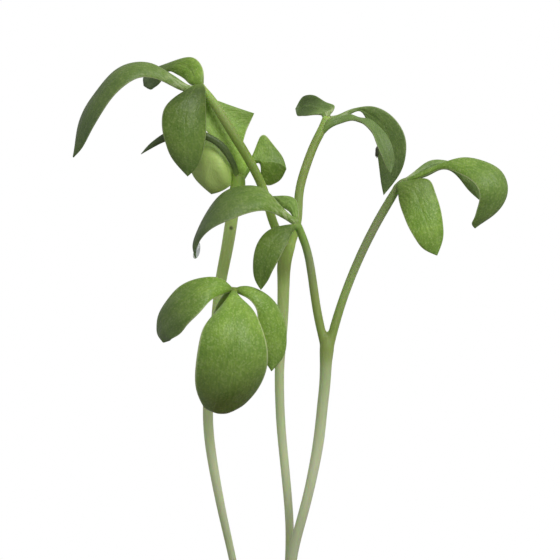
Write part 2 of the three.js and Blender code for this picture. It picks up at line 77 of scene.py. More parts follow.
# Pot
POT_HEIGHT = 44
RIM_RADIUS = 25
COLLAR_HEIGHT = 11
COLLAR_STEP = 2.2
FOOT_RADIUS = 17
WALL = 2.8
FLOOR = 4.5
DRAIN_RADIUS = 4
EDGE_ROUND = 0.7
PROFILE_STEP = 0.55
PROFILE_ROUNDS = 3
POT_SIDES = 240
CHIPS = 14
CHIP_SIZES = (0.5, 1.3)
CHIP_DEPTH = 0.3
CHIP_FLATNESS = 1.4

# Water at the tip of a leaflet and a scrap of seed coat: their places and half sizes
DROPLET_PLACE = (-8.26, -4.95, 87.92)
DROPLET_SIZE = (0.3, 0.3, 0.8)
DROPLET_TAPER = 0.3
DROPLET_LEAN = 0.25
SEED_COAT_PLACE = (9.72, 4.55, 97.85)
SEED_COAT_SIZE = (0.15, 0.3, 0.5)

# Compost
SOIL_DOME = 1.2
SOIL_GAP = 0.3
DOME_SPREAD_SQUARED = 420
GROUND_RINGS = 60
GROUND_SIDES = 150
CRUMBS = 1100
SMALLEST_CRUMB = 0.22
CRUMB_RANGE = 5
FIBRES = 150
FIBRE_SPREAD = 13.5
FIBRE_SIDES = 7
PERLITE = 22
PERLITE_SPREAD = 18.5

# Shades that pick a colour in the compost's material: soil, wood or white
GROUND_SHADE = 0.35
CRUMB_SHADES = (0.1, 0.6)
WOOD_SHADES = (0.8, 1.2)
WHITE_SHADE = 2

# Stems
STEM_VOXEL = 0.11
STEM_SIDES = 24
STEM_STEP = 0.3
STALK_DOME = 0.6
SKIN_ROUNDS = 4
FORK_ROUNDS = 16
TINT_ROUNDS = 40
MATCHING_PARTS = 40

# A stalk turns leaf green between these distances from its end
LEAFY_FROM = 4.5
LEAFY_BY = 0.8

# Feet of leaflets: how far back in the stalk they start and how thick, as shares of the stalk's last
# step and radius, how far they reach from the first rib to the second, and their radii at both places
FEET_START = 0.12
FEET_START_RADIUS = 0.85
FEET_REACH = 0.6
FOOT_RADII = (0.34, 0.26)

# How far forks are smoothed around the ends of a stem and of its two stalks
FORK_REACH = (1.3, 0.8, 0.8)

# Each stalk is a list of (x, y, z, radius), from the root upward.
# Each leaflet is a list of ribs from its base to its tip: the two ends of a line across the blade.
# Seen with the upper side in front and the tip down, the left edge comes first.
# A folded leaflet has the point of its fold between the two ends.
SOIL_TOP = 38
ROOT_END = 32
STALKS = {}
STALKS["left_stem"] = [
    (-1.6, 3, ROOT_END, 0.38),
    (-1.7, 3, SOIL_TOP, 0.38),
    (-2.4, 3, 44, 0.38),
    (-3.45, 3, 50, 0.38),
    (-4.75, 2.9, 57, 0.38),
    (-5.75, 2.7, 61.5, 0.42),
    (-6.48, 2.4, 65.2, 0.47),
    (-7.04, 2.2, 68.8, 0.51),
    (-7.22, 2, 72, 0.52),
    (-7.1, 2, 74.6, 0.54),
]
STALKS["left_top_stalk"] = [
    (-7.1, 2, 74.6, 0.5),
    (-6.6, 2.3, 79, 0.5),
    (-6.22, 2.7, 82.8, 0.53),
    (-5.83, 3, 85.5, 0.58),
    (-5.34, 2.6, 88, 0.61),
    (-4.86, 2.7, 91, 0.63),
    (-4.5, 2.7, 93.2, 0.68),
    (-4.2, 2.7, 94.6, 0.75),
    (-4.12, 2.7, 95.5, 0.6),
]
STALKS["left_front_stalk"] = [
    (-7.1, 2, 74.6, 0.45),
    (-7, 1, 76.6, 0.43),
    (-6.8, -0.6, 79, 0.42),
    (-6.3, -2.4, 81.3, 0.42),
    (-5.6, -3.4, 82.9, 0.43),
    (-4.95, -3.8, 83.8, 0.4),
]
STALKS["middle_stem"] = [
    (0.9, 1, ROOT_END, 0.4),
    (0.85, 1, SOIL_TOP, 0.4),
    (0.7, 1, 46, 0.4),
    (0.72, 1, 52, 0.41),
    (0.93, 1, 57.35, 0.43),
    (0.97, 1, 59.5, 0.43),
    (0.91, 1, 61.4, 0.43),
    (0.66, 1, 64.5, 0.44),
    (0.37, 1, 67.45, 0.45),
    (0.1, 1, 70.45, 0.46),
    (-0.04, 1, 73.5, 0.47),
    (-0.05, 1, 76, 0.48),
    (0.2, 1.1, 80, 0.54),
    (0.33, 1.2, 83.5, 0.6),
    (0.36, 1.3, 85.2, 0.64),
    (0.45, 1.4, 86.8, 0.71),
    (0.95, 1.5, 88.6, 0.66),
]
STALKS["middle_left_stalk"] = [
    (0.8, 1.5, 88.2, 0.46),
    (-0.35, 1.35, 90, 0.45),
    (-1.48, 1.1, 93.5, 0.45),
    (-3.1, 0.9, 97, 0.47),
    (-5.3, 0.95, 100.6, 0.48),
    (-6.7, 1.4, 102.8, 0.46),
    (-7.8, 1.9, 104.2, 0.43),
]
STALKS["middle_right_stalk"] = [
    (1, 1.5, 88.4, 0.5),
    (1.75, 1.6, 91.2, 0.46),
    (1.9, 1.8, 93.5, 0.45),
    (2.65, 2.4, 96.5, 0.45),
    (3.65, 3.1, 99, 0.44),
    (4.35, 3.6, 100.4, 0.45),
    (4.7, 3.9, 101.3, 0.46),
]
STALKS["right_stem"] = [
    (-0.2, -1.5, ROOT_END, 0.46),
    (-0.1, -1.5, SOIL_TOP, 0.46),
    (0.2, -1.5, 45, 0.46),
    (0.7, -1.5, 52, 0.47),
    (1.1, -1.5, 56.3, 0.49),
    (1.4, -1.5, 58.15, 0.5),
    (2, -1.5, 60.55, 0.5),
    (2.65, -1.5, 62.95, 0.5),
    (3.3, -1.6, 65.85, 0.52),
    (3.86, -1.7, 69, 0.55),
    (4.25, -1.8, 72.5, 0.55),
    (4.5, -1.9, 75, 0.57),
    (4.62, -2, 77.4, 0.67),
    (4.7, -2, 78.6, 0.7),
    (4.72, -2, 79.4, 0.48),
]
STALKS["right_inner_stalk"] = [
    (4.6, -2, 78, 0.5),
    (3.78, -2, 81.5, 0.44),
    (3.17, -2.1, 85.5, 0.43),
    (2.62, -2.3, 88.2, 0.41),
    (1.75, -2.5, 90.5, 0.43),
]
STALKS["right_outer_stalk"] = [
    (4.8, -2, 78, 0.52),
    (5.93, -2.1, 82, 0.44),
    (7.62, -2.4, 86.5, 0.43),
    (9.72, -2.7, 90.8, 0.44),
    (11.6, -3, 94, 0.44),
]

LEAFLETS = {}
LEAFLETS["left_front_leaflet_1"] = [
    ((-4.75, -4, 84.15), (-4.85, -4, 83.75)),
    ((-5.8, -4.5, 85.1), (-5.9, -5.2, 83.5)),
    ((-7.1, -4.8, 85.3), (-6.9, -6.4, 82.95)),
    ((-9.7, -4.6, 84.55), (-8.1, -7.2, 81.55)),
    ((-11.35, -4.1, 82.95), (-9.35, -7.2, 80.4)),
    ((-12.15, -3.7, 81.3), (-10.2, -6.7, 79.45)),
    ((-12.28, -3.6, 80.2), (-10.8, -6.1, 79.08)),
    ((-12.14, -3.8, 79.4), (-11.02, -5.4, 78.92)),
    ((-11.62, -4.6, 78.75),),
]
LEAFLETS["left_front_leaflet_2"] = [
    ((-4.75, -4, 84.05), (-4.5, -4, 83.9)),
    ((-5.3, -5.6, 83.15), (-3.85, -5.6, 83.15)),
    ((-6.05, -6.8, 82.2), (-3.1, -6.6, 82.5)),
    ((-7.1, -8.3, 81.1), (-2.4, -7.6, 81.7)),
    ((-8, -9.5, 79), (-1.4, -8.7, 79)),
    ((-8.4, -9.2, 76.4), (-1.22, -8.6, 76.8)),
    ((-8.35, -7.9, 74.2), (-1.85, -7.6, 74.7)),
    ((-7.75, -6.3, 72.65), (-3.3, -6.4, 72.85)),
    ((-6.85, -5.7, 72.05), (-4.65, -5.7, 72.12)),
    ((-5.8, -5.3, 71.95),),
]
LEAFLETS["left_front_leaflet_3"] = [
    ((-4.55, -3.9, 83.8), (-4.45, -3.9, 84.2)),
    ((-3.7, -4.6, 83.45), (-3.3, -3.8, 84.35)),
    ((-2.9, -5, 82.9), (-1.9, -3.6, 83.9)),
    ((-2.35, -5, 82), (-0.7, -3.2, 83.05)),
    ((-2.25, -4.8, 80.7), (0.3, -2.9, 81.5)),
    ((-2.2, -4.4, 79), (0.64, -2.9, 79.4)),
    ((-1.8, -4, 77.4), (0.3, -3, 77.3)),
    ((-0.85, -3.6, 75.9),),
]
LEAFLETS["left_top_leaflet_1"] = [
    ((-3.6, 3, 94.9), (-4.3, 2.9, 95.2)),
    ((-3.4, 3, 97.2), (-4.95, 2.1, 97.35)),
    ((-3.7, 3.05, 98.2), (-5.75, 1.8, 98.6)),
    ((-3.55, 3.2, 99.4), (-7.4, 1.5, 100)),
    ((-3.2, 3.3, 100.35), (-7.7, 2.4, 103.2)),
    ((-2.85, 3.3, 101.1), (-5.6, 2.9, 102.75)),
    ((-2.58, 3.3, 101.72),),
]
LEAFLETS["left_top_leaflet_2"] = [
    ((-4.5, 2.8, 95.8), (-4.4, 2.8, 95.3)),
    ((-4.75, 2.7, 95.6), (-5.3, 2.8, 97.1)),
    ((-4.75, 2.7, 95.15), (-6.3, 3, 98.4)),
    ((-4.8, 2.6, 94.7), (-8.1, 3.1, 99.3)),
    ((-5.4, 2.6, 94.15), (-9, 3.2, 97)),
    ((-6.1, 2.7, 93.8), (-8.6, 3.1, 95.25)),
    ((-6.85, 2.9, 93.6),),
]
LEAFLETS["left_top_leaflet_3"] = [
    ((-4.1, 2.5, 95.3), (-4.7, 2.5, 95.1)),
    ((-4.35, 2.05, 96.6), (-4.85, 2.05, 96.2)),
    ((-4.85, 1.6, 97.6), (-5.25, 1.8, 97)),
    ((-5.5, 1.25, 98.6), (-5.9, 1.5, 97.9)),
    ((-6.6, 1.1, 99.4), (-6.7, 1.35, 98.65)),
    ((-8, 1.1, 100), (-8, 1.35, 99.2)),
    ((-9.6, 1.2, 100.2), (-9.5, 1.6, 99.35)),
    ((-11.2, 1.5, 99.9), (-11, 1.9, 99.05)),
    ((-12.5, 1.9, 99.1), (-12.3, 2.2, 98.5)),
    ((-13.3, 2.2, 98.4), (-13.2, 2.4, 98)),
    ((-13.95, 2.5, 97.6),),
]
LEAFLETS["left_top_leaflet_4"] = [
    ((-3.5, 3.4, 95.1), (-3.8, 3.35, 95.5), (-4.05, 3.4, 95.8)),
    ((-2.85, 3.8, 96.2), (-2.98, 3.7, 96.62), (-3.1, 3.8, 96.95)),
    ((-2.35, 4, 96.7), (-2.4, 3.9, 97), (-2.5, 4.3, 98.2)),
    ((-1.98, 4.1, 96.5), (-2.02, 3.9, 96.88), (-2.15, 4.7, 99.1)),
    ((-1.88, 4.6, 95.3), (-1.83, 3.9, 96.88), (-1.88, 4.9, 99.5)),
    ((-1.55, 4.9, 94.68), (-1.55, 3.9, 96.87), (-1.55, 4.95, 99.57)),
    ((-1, 4.95, 94.5), (-0.95, 3.9, 96.85), (-0.9, 4.65, 98.9)),
    ((-0.25, 4.75, 94.82), (-0.2, 3.95, 96.72), (-0.15, 4.4, 97.95)),
    ((0.3, 4.5, 95.4), (0.35, 4, 96.45), (0.4, 4.2, 97.05)),
    ((0.65, 4.1, 96.15),),
]
LEAFLETS["middle_left_leaflet_1"] = [
    ((-7.9, 2, 104.6), (-8, 2, 104.1)),
    ((-9.1, 1.9, 104.5), (-9.3, 1.6, 103.85)),
    ((-10.1, 1.8, 105.1), (-10.4, 1.3, 104.2)),
    ((-11.3, 1.8, 105.85), (-11.7, 0.8, 104.85)),
    ((-13, 1.8, 106.7), (-13.1, 0.2, 105.25)),
    ((-14.9, 1.7, 106.72), (-14.3, -0.4, 105.15)),
    ((-16.7, 1.7, 105.85), (-15.7, -0.9, 104.3)),
    ((-18.15, 1.7, 104.15), (-16.9, -1.1, 103.05)),
    ((-19.45, 1.6, 102.25), (-17.95, -1, 101.4)),
    ((-20.2, 1.3, 100.4), (-18.95, -0.6, 99.65)),
    ((-20.5, 1, 98.75), (-19.85, 0.1, 98.1)),
    ((-20.7, 0.8, 97.25),),
]
LEAFLETS["middle_left_leaflet_2"] = [
    ((-7.7, 2.2, 104.6), (-8.1, 2.4, 104.4)),
    ((-7.65, 2.3, 105.4), (-8.8, 2.8, 104.5)),
    ((-7.87, 2.8, 106.5), (-9.55, 3.4, 105.1)),
    ((-8.75, 3.4, 107.32), (-10.4, 4, 105.65)),
    ((-10.2, 4.3, 107.15), (-11.2, 4.6, 105.9)),
    ((-11.7, 5.3, 106.65), (-11.9, 5.1, 105.05)),
    ((-12.9, 5.9, 106.1), (-12.35, 5.6, 104.5)),
    ((-13.5, 6.1, 105.6), (-12.72, 5.8, 104.25)),
    ((-13.78, 6.2, 105.1), (-13.2, 6, 104.18)),
    ((-13.68, 6.2, 104.5),),
]
LEAFLETS["middle_left_leaflet_3"] = [
    ((-8.4, 1.9, 104.3), (-7.65, 1.9, 104.45)),
    ((-9.4, 1.2, 103.95), (-7.5, 1.5, 104.2)),
    ((-10.2, 0.8, 103.55), (-7.45, 1.1, 103.5)),
    ((-11.3, 0.2, 102.6), (-7.4, 0.7, 102.3)),
    ((-11.8, -0.1, 101.3), (-7.38, 0.4, 100.9)),
    ((-11.75, -0.2, 99.8), (-7.4, 0.3, 99.6)),
    ((-11.45, -0.1, 98.7), (-7.55, 0.3, 98.4)),
    ((-10.9, 0.1, 97.3), (-7.95, 0.4, 97)),
    ((-10.1, 0.3, 96.25), (-8.5, 0.5, 96.05)),
    ((-9.25, 0.5, 95.35),),
]
LEAFLETS["middle_right_leaflet_1"] = [
    ((4.3, 4.1, 101.2), (5.05, 4.1, 101.35)),
    ((4.15, 4.3, 101.5), (5.15, 4.3, 101.8)),
    ((3.95, 4.6, 101.62), (5.5, 4.7, 102.33)),
    ((3.4, 5, 101.6), (4.8, 5.3, 102.82)),
    ((2.7, 5.6, 101.48), (3.65, 6, 103.48)),
    ((2, 6.2, 101.48), (2.65, 6.6, 103.6)),
    ((1.65, 6.6, 101.7), (1.95, 6.9, 103)),
    ((1.55, 6.8, 102.2),),
]
LEAFLETS["middle_right_leaflet_2"] = [
    ((5, 4, 100.85), (4.9, 4, 101.45)),
    ((5.8, 4.2, 101.1), (5.65, 4.2, 101.55)),
    ((7.2, 4.6, 101.7), (7, 4.6, 102.12)),
    ((8.15, 4.7, 101.88), (8.1, 4.6, 102.38)),
    ((8.75, 4.8, 100.95), (9.15, 4.4, 102.45)),
    ((9.4, 4.8, 100), (10.8, 4.1, 101.8)),
    ((9.7, 4.7, 98.9), (12.05, 3.7, 100.45)),
    ((9.8, 4.6, 97.6), (12.63, 3.5, 98.9)),
    ((9.95, 4.5, 96.3), (12.55, 3.6, 97.15)),
    ((10.1, 4.5, 95), (12.05, 4, 95.7)),
    ((10.4, 4.7, 93.5),),
]
LEAFLETS["middle_right_leaflet_3"] = [
    ((4.7, 3.6, 101), (4.1, 3.3, 99.2)),
    ((5.5, 3.6, 101.35), (5.12, 3.45, 100.25)),
    ((6.3, 3.6, 101.5), (6.1, 3.4, 100.7)),
    ((7.2, 3.4, 101.6), (7.15, 3, 101)),
    ((7.95, 3.3, 101.28), (8, 2.7, 100.92)),
    ((8.75, 3.2, 101.2), (8.5, 2.3, 100.6)),
    ((9.55, 3.1, 100.75), (9.15, 1.9, 99.95)),
    ((10.4, 2.7, 99.9), (9.5, 1.5, 99.2)),
    ((11.1, 2.3, 98.8), (9.8, 1.2, 98.3)),
    ((11.42, 2.1, 97.7), (10.25, 1.1, 97.25)),
    ((11.42, 2, 96.6), (10.65, 1.3, 96.3)),
    ((11.05, 1.6, 95.65),),
]
LEAFLETS["right_inner_leaflet_1"] = [
    ((1.8, -2.7, 91), (1.4, -2.7, 90.4)),
    ((0.8, -2.8, 91.7), (0.4, -3.1, 91.1)),
    ((-0.3, -2.9, 92.8), (-0.7, -4, 91.65)),
    ((-1.6, -3, 94.05), (-1.7, -5, 91.9)),
    ((-3.6, -3, 94.4), (-3.4, -5.6, 91.6)),
    ((-5.45, -3, 93.88), (-4.9, -6.1, 91)),
    ((-7, -3.2, 92.15), (-6.4, -6.2, 90.3)),
    ((-8.15, -4, 89.9), (-7.7, -5.8, 89.3)),
    ((-8.7, -4.7, 88.3), (-8.25, -5.1, 88.25)),
    ((-8.4, -4.9, 87.2),),
]
LEAFLETS["right_inner_leaflet_2"] = [
    ((1.4, -2.9, 90.5), (1.7, -2.9, 90.2)),
    ((0.6, -3.3, 90.44), (1.3, -3.7, 89.8)),
    ((-0.8, -3.7, 90.15), (0.85, -4.7, 88.9)),
    ((-1.95, -4.1, 89.2), (0.32, -5.2, 87.85)),
    ((-2.55, -4.4, 87.8), (-0.28, -5.4, 86.75)),
    ((-2.7, -4.5, 86.4), (-0.8, -5.2, 85.75)),
    ((-2.5, -4.5, 85), (-1.25, -4.8, 84.85)),
    ((-1.9, -4.5, 84),),
]
LEAFLETS["right_inner_leaflet_3"] = [
    ((1.85, -2.5, 90.9), (1.5, -2.5, 90.8)),
    ((1.85, -2.2, 91.7), (1.25, -2.2, 91.3)),
    ((1.8, -1.8, 92.35), (0.85, -1.9, 91.86)),
    ((1.6, -1.4, 93), (0.3, -1.5, 92.2)),
    ((0.95, -1.1, 93.37), (-0.2, -1.2, 92.65)),
    ((0.1, -0.9, 93.4), (-0.55, -1, 93)),
    ((-0.95, -0.8, 93.35),),
]
LEAFLETS["right_outer_leaflet_1"] = [
    ((11.7, -3.2, 94.3), (12, -3.2, 94.6)),
    ((11.75, -3.8, 93.7), (13, -3.7, 94.95)),
    ((11.85, -4, 92.9), (14.4, -3.8, 95.15)),
    ((12.25, -4.4, 91.6), (15.4, -4, 94)),
    ((12.8, -4.8, 90.25), (15.95, -4.4, 92.3)),
    ((13.5, -5, 89.05), (16.25, -4.6, 90.6)),
    ((14.4, -4.9, 88), (16.2, -4.7, 88.9)),
    ((15.65, -4.8, 87.42),),
]
LEAFLETS["right_outer_leaflet_2"] = [
    ((12, -3.2, 94.3), (11.9, -3.2, 94.65)),
    ((13.4, -3.7, 95), (13.3, -3.6, 95.42)),
    ((14.8, -4, 95.55), (14.8, -3.8, 96.08)),
    ((16.3, -4.3, 96.08), (16.6, -3.9, 96.78)),
    ((17.8, -5.3, 95.62), (18.35, -4, 97.2)),
    ((19, -6.1, 94.95), (20.4, -4.2, 96.8)),
    ((19.68, -6.4, 94.15), (22.05, -4.4, 95.85)),
    ((19.86, -6.2, 93.15), (22.72, -4.6, 94.35)),
    ((19.6, -5.5, 92.1), (22.4, -4.7, 92.75)),
    ((19.28, -5, 91.1), (21.3, -4.5, 91.45)),
    ((19.12, -4.5, 90.5), (20.2, -4.3, 90.7)),
    ((19.4, -4.2, 90.15),),
]
LEAFLETS["right_outer_leaflet_3"] = [
    ((12.05, -2.6, 94.45), (12, -2.6, 94.85)),
    ((13.1, -2, 94.9), (13.1, -2, 95.6)),
    ((14.7, -1.3, 95.35), (14.2, -1.3, 96.5)),
    ((16, -0.9, 95.98), (15.4, -0.9, 97.03)),
    ((17.1, -0.7, 95.85), (17, -0.8, 96.85)),
    ((18.1, -0.6, 94.9), (18.6, -0.7, 96.1)),
    ((18.9, -0.5, 93.9), (20, -0.7, 94.8)),
    ((19.9, -0.6, 93),),
]

# How far each leaflet swells towards its upper side between its edges, as a share of its half width,
# how light it is at its base and towards its tip, partly its own tone and partly painted light and shade
# that brightens some leaflets and darkens others, and how grey it is at its base and at its tip,
# which is a painted grey sheen of reflected light
LOOKS = {
    "left_front_leaflet_1": (0.1, (1.6, 0.78), (0, 0.5)),
    "left_front_leaflet_2": (0.36, (1.75, 1.2), (0, 0.5)),
    "left_front_leaflet_3": (0.3, (1.45, 1.45), (0, 0)),
    "left_top_leaflet_1": (0, (2.2, 1.6), (0, 0)),
    "left_top_leaflet_2": (-0.38, (2.1, 1.15), (0, 0)),
    "left_top_leaflet_3": (0.3, (0.5, 0.55), (0.6, 1)),
    "left_top_leaflet_4": (0.04, (1.35, 1.25), (0, 0)),
    "middle_left_leaflet_1": (0.2, (1.25, 0.66), (0.35, 0.8)),
    "middle_left_leaflet_2": (0.12, (1.5, 1.05), (0, 1.6)),
    "middle_left_leaflet_3": (0.3, (0.44, 0.94), (0, 0.35)),
    "middle_right_leaflet_1": (0.3, (1.35, 0.65), (0, 0)),
    "middle_right_leaflet_2": (-0.1, (1.3, 1.12), (0.8, 0.9)),
    "middle_right_leaflet_3": (0.3, (1.1, 0.95), (0, 0)),
    "right_inner_leaflet_1": (0.2, (1.4, 0.6), (0, 1.1)),
    "right_inner_leaflet_2": (0.05, (0.66, 0.84), (0, 0)),
    "right_inner_leaflet_3": (0.3, (1.6, 1.6), (0.5, 0.5)),
    "right_outer_leaflet_1": (0.15, (0.75, 1.5), (0, 0)),
    "right_outer_leaflet_2": (0.18, (1.15, 1.3), (0, 0.6)),
    "right_outer_leaflet_3": (0.3, (1.75, 2.3), (1.2, 1.2)),
}

# Tints that a stalk's green is multiplied by, partly the stalk's own colour and partly painted light
# and shade that brightens shadowed stretches and darkens others
EVEN = (1, 1, 1)
FRESH = (1.2, 1.2, 1)
PALER = (1.5, 1.4, 1.6)
OLIVE = (0.9, 0.85, 0.75)
DEEP = (0.75, 0.78, 0.5)
DULL = (0.9, 0.8, 1.2)

# The heights on each stalk where it has a tint, from the root upward, with a blend between them
STALK_TINT_AND_PAINTED_LIGHT = {
    "left_stem": ((70, EVEN),),
    "left_top_stalk": ((77, EVEN), (84, PALER), (90, PALER), (93, FRESH)),
    "left_front_stalk": ((77, EVEN), (82, OLIVE)),
    "middle_stem": ((72, EVEN), (82, PALER), (84, PALER), (86, OLIVE), (88, FRESH)),
    "middle_left_stalk": ((89, DEEP), (92, FRESH), (95, DEEP), (99, DEEP), (101, OLIVE), (104, PALER)),
    "middle_right_stalk": ((90, FRESH), (92, EVEN), (95, OLIVE), (99, OLIVE), (101, PALER)),
    "right_stem": ((76, EVEN), (78, DEEP)),
    "right_inner_stalk": ((80, DEEP), (83, OLIVE), (87, DULL), (89, EVEN)),
    "right_outer_stalk": ((80, DEEP), (84, EVEN), (88, DULL)),
}

# A dark scar on the front of the left seedling's upper stalk
SCAR_PLACE = (-4.9, 2.08, 90.2)
SCAR_RADIUS = 0.26

# Leaflets that are paler and yellower than the rest, from 0 to 1: their own colour, and on
# left_top_leaflet_2 also a painted glow of light shining through the thin blade
PALE = {"left_top_leaflet_1": 0.1, "left_top_leaflet_2": 1}

# Leaflets with a pale, streaked foot: partly its own paler colour, partly a painted highlight of its
# gloss
PALE_FEET_AND_HIGHLIGHT = (
    "middle_left_leaflet_1",
    "middle_right_leaflet_1",
    "middle_right_leaflet_2",
    "right_inner_leaflet_1",
    "right_outer_leaflet_3",
)


def spline(knots, points, at):
    """Where the natural cubic spline through points, one at each knot, is at each of at."""
    count = len(knots)
    gaps = np.diff(knots)
    system = np.eye(count)
    target = np.zeros_like(points)
    for i in range(1, count - 1):
        system[i, i - 1 : i + 2] = gaps[i - 1], 2 * (gaps[i - 1] + gaps[i]), gaps[i]
        after = (points[i + 1] - points[i]) / gaps[i]
        before = (points[i] - points[i - 1]) / gaps[i - 1]
        target[i] = 3 * (after - before)
    bend = np.linalg.solve(system, target)
    span = np.clip(np.searchsorted(knots, at, side="right") - 1, 0, count - 2)
    step = (at - knots[span])[:, None]
    gap = gaps[span][:, None]
    slope = (points[span + 1] - points[span]) / gap - gap * (2 * bend[span] + bend[span + 1]) / 3
    curl = (bend[span + 1] - bend[span]) / (3 * gap)
    return points[span] + step * (slope + step * (bend[span] + step * curl))


def distances_along(points):
    """How far along the line through points each of them is."""
    return np.concatenate([[0], np.cumsum(np.linalg.norm(np.diff(points, axis=0), axis=1))])


def smoothstep(low, high, x):
    """0 below low and 1 above high, or the other way round, with a smooth change between."""
    share = np.clip((x - low) / (high - low), 0, 1)
    return share * share * (3 - 2 * share)


def unit(vectors):
    return vectors / np.linalg.norm(vectors, axis=-1, keepdims=True)


def new_object(name, data):
    """An object in the scene."""
    made = bpy.data.objects.new(name, data)
    bpy.context.scene.collection.objects.link(made)
    return made


def new_piece(name, points, faces, material):
    """A smooth-shaded object from points in millimetres."""
    mesh = bpy.data.meshes.new(name)
    mesh.from_pydata((np.asarray(points) * MM).tolist(), [], faces)
    mesh.shade_smooth()
    mesh.materials.append(material)
    return new_object(name, mesh)


def give(piece, **stored):
    """Stores numbers or vectors on the vertices under their names, for the material to read."""
    for name, values in stored.items():
        kind, key = ("FLOAT_VECTOR", "vector") if values.ndim == 2 else ("FLOAT", "value")
        layer = piece.data.attributes.new(name, kind, "POINT")
        layer.data.foreach_set(key, values.astype(np.float32).ravel())


def circle(sides):
    """Points around a circle of radius 1."""
    turn = np.arange(sides) * 2 * np.pi / sides
    return np.stack([np.cos(turn), np.sin(turn)], 1)


def distances(points, place):
    """How far each point is from a place."""
    return np.linalg.norm(points - np.array(place), axis=1)


def ring_faces(low, high, sides):
    """Faces between two rings of points, from the numbers of their first points."""
    turn = np.arange(sides)
    following = (turn + 1) % sides
    return np.stack([low + turn, low + following, high + following, high + turn], 1).tolist()


def skin_faces(rings, sides):
    """Faces over rings of points, with the two end points after them."""
    faces = []
    for low in range(0, (rings - 1) * sides, sides):
        faces += ring_faces(low, low + sides, sides)
    start = rings * sides
    last = start - sides
    faces += [[start, (i + 1) % sides, i] for i in range(sides)]
    faces += [[start + 1, last + i, last + (i + 1) % sides] for i in range(sides)]
    return faces


# The points around a leaflet's section, as shares of the half width from -1 at its left edge to 1 at
# its right: from right to left above, then back below, close together at the midrib and at the edges.
# UPPER is 1 above, -1 below and 0 at the edges.
HALF = smoothstep(0, 1, np.linspace(0, 1, HALF_SIDES + 1))
ABOVE = np.concatenate([HALF[::-1], -HALF[1:]])
ACROSS = np.concatenate([ABOVE, ABOVE[-2:0:-1]])
UPPER = np.concatenate([np.ones(2 * HALF_SIDES), -np.ones(2 * HALF_SIDES)])
UPPER[[0, 2 * HALF_SIDES]] = 0


def waves(random, share, across):
    """A gentle unevenness over a blade, about 1 high."""
    height = 0
    for _ in range(4):
        lengthwise, sideways = random.uniform(0.7, 2.6), random.uniform(0.2, 1.1)
        turns = lengthwise * share + sideways * across + random.random()
        height = height + np.sin(2 * np.pi * turns) / 2
    return height


def at_every_point(rows, start=0, end=0):
    """Values for all the points of a leaflet: those of its rings, then of its two ends."""
    return np.append(np.broadcast_to(rows, (LEAF_STEPS, len(ACROSS))).ravel(), [start, end])


def leaflet(name, ribs, material, seed):
    """A thin, slightly uneven blade on a round foot, with the values that its material reads."""
    random = np.random.default_rng(seed)
    camber, tone, grey = LOOKS[name]
    left = np.array([rib[0] for rib in ribs], float)
    right = np.array([rib[-1] for rib in ribs], float)
    crest = (left + right) / 2
    knots = distances_along(crest)
    for i, rib in enumerate(ribs):
        if len(rib) == 3:
            crest[i] = rib[1]

    # The edges and the crest between them run smoothly through the ribs
    length = knots[-1]
    share = 1 - (1 - np.linspace(0, 1, LEAF_STEPS + 1)[:-1]) ** TIP_CROWDING
    at = share * length
    edge_left = spline(knots, left, at)
    edge_right = spline(knots, right, at)
    middle = spline(knots, crest, at)
    half = (edge_right - edge_left) / 2
    ahead = unit(np.gradient(middle, at, axis=0))
    up = unit(np.cross(ahead, half))

    # How far each point rises above or sinks below the crest: half the thickness, the swelling,
    # the groove of the midrib and the unevenness
    across = ACROSS[None, :]
    share = share[:, None]
    width = np.linalg.norm(half, axis=1)[:, None]
    blade = smoothstep(0, FOOT_SHARE, share)
    body = (1 - blade) * np.minimum(2 * width, FOOT_THICKNESS) + blade * BLADE_THICKNESS
    thin = smoothstep(THINS_FROM, 1, share)
    thickness = (1 - thin) * body + thin * TIP_THICKNESS
    profile = (1 - np.abs(across) ** (2 + blade)) ** 0.5
    rise = UPPER[None, :] * thickness / 2 * profile
    rise = rise + camber * width * blade * (1 - across * across)
    groove = np.exp(-((across * width / MIDRIB_WIDTH) ** 2))
    rise = rise - MIDRIB_DEPTH * blade * (1 - thin) * groove
    rise = rise + UNEVENNESS * width * blade * waves(random, share, across)
    to_left = (middle - edge_left)[:, None]
    to_right = (edge_right - middle)[:, None]
    side = np.where(across[..., None] < 0, to_left, to_right)
    points = middle[:, None] + side * across[..., None] + up[:, None] * rise[..., None]

    ends = [middle[0] - ahead[0] * FOOT_DOME, left[-1]]
    faces = skin_faces(LEAF_STEPS, len(ACROSS))
    piece = new_piece(name.replace("leaflet", "blade"), [*points.reshape(-1, 3), *ends], faces, material)
    along = at_every_point(share, end=1)
    apart = np.full(len(along), GRAIN_APART * seed)
    give(
        piece,
        along=along,
        across=at_every_point(across),
        upper=at_every_point(UPPER[None, :]),
        grain=np.stack([at_every_point(across * width), along * length, apart], 1),
        pale=np.full(len(along), PALE.get(name, 0)),
        tone=np.interp(smoothstep(0, TONE_BY, along), (0, 1), tone),
        grey=np.interp(smoothstep(GREY_FROM, 1, along), (0, 1), grey),
        pale_foot=np.full(len(along), name in PALE_FEET_AND_HIGHLIGHT),
    )
    return piece


def stalk_rings(line, sides=STEM_SIDES):
    """Points on a tapering round tube, its centre line, and how far along each centre is."""
    line = np.array(line, float)
    knots = distances_along(line[:, :3])
    at = np.linspace(0, knots[-1], max(8, round(knots[-1] / STEM_STEP)))
    centre = spline(knots, line, at)
    along = unit(np.gradient(centre[:, :3], at, axis=0))
    side = unit(np.array([1.0, 0, 0]) - along * along[:, :1])
    other = np.cross(along, side)
    round_side, round_other = circle(sides).T[:, :, None]
    ring = round_side * side[:, None] + round_other * other[:, None]
    points = centre[:, None, :3] + centre[:, 3, None, None] * ring
    start = centre[0, :3] - along[0] * centre[0, 3] * STALK_DOME
    end = centre[-1, :3] + along[-1] * centre[-1, 3] * STALK_DOME
    return [*points.reshape(-1, 3), start, end], centre, at


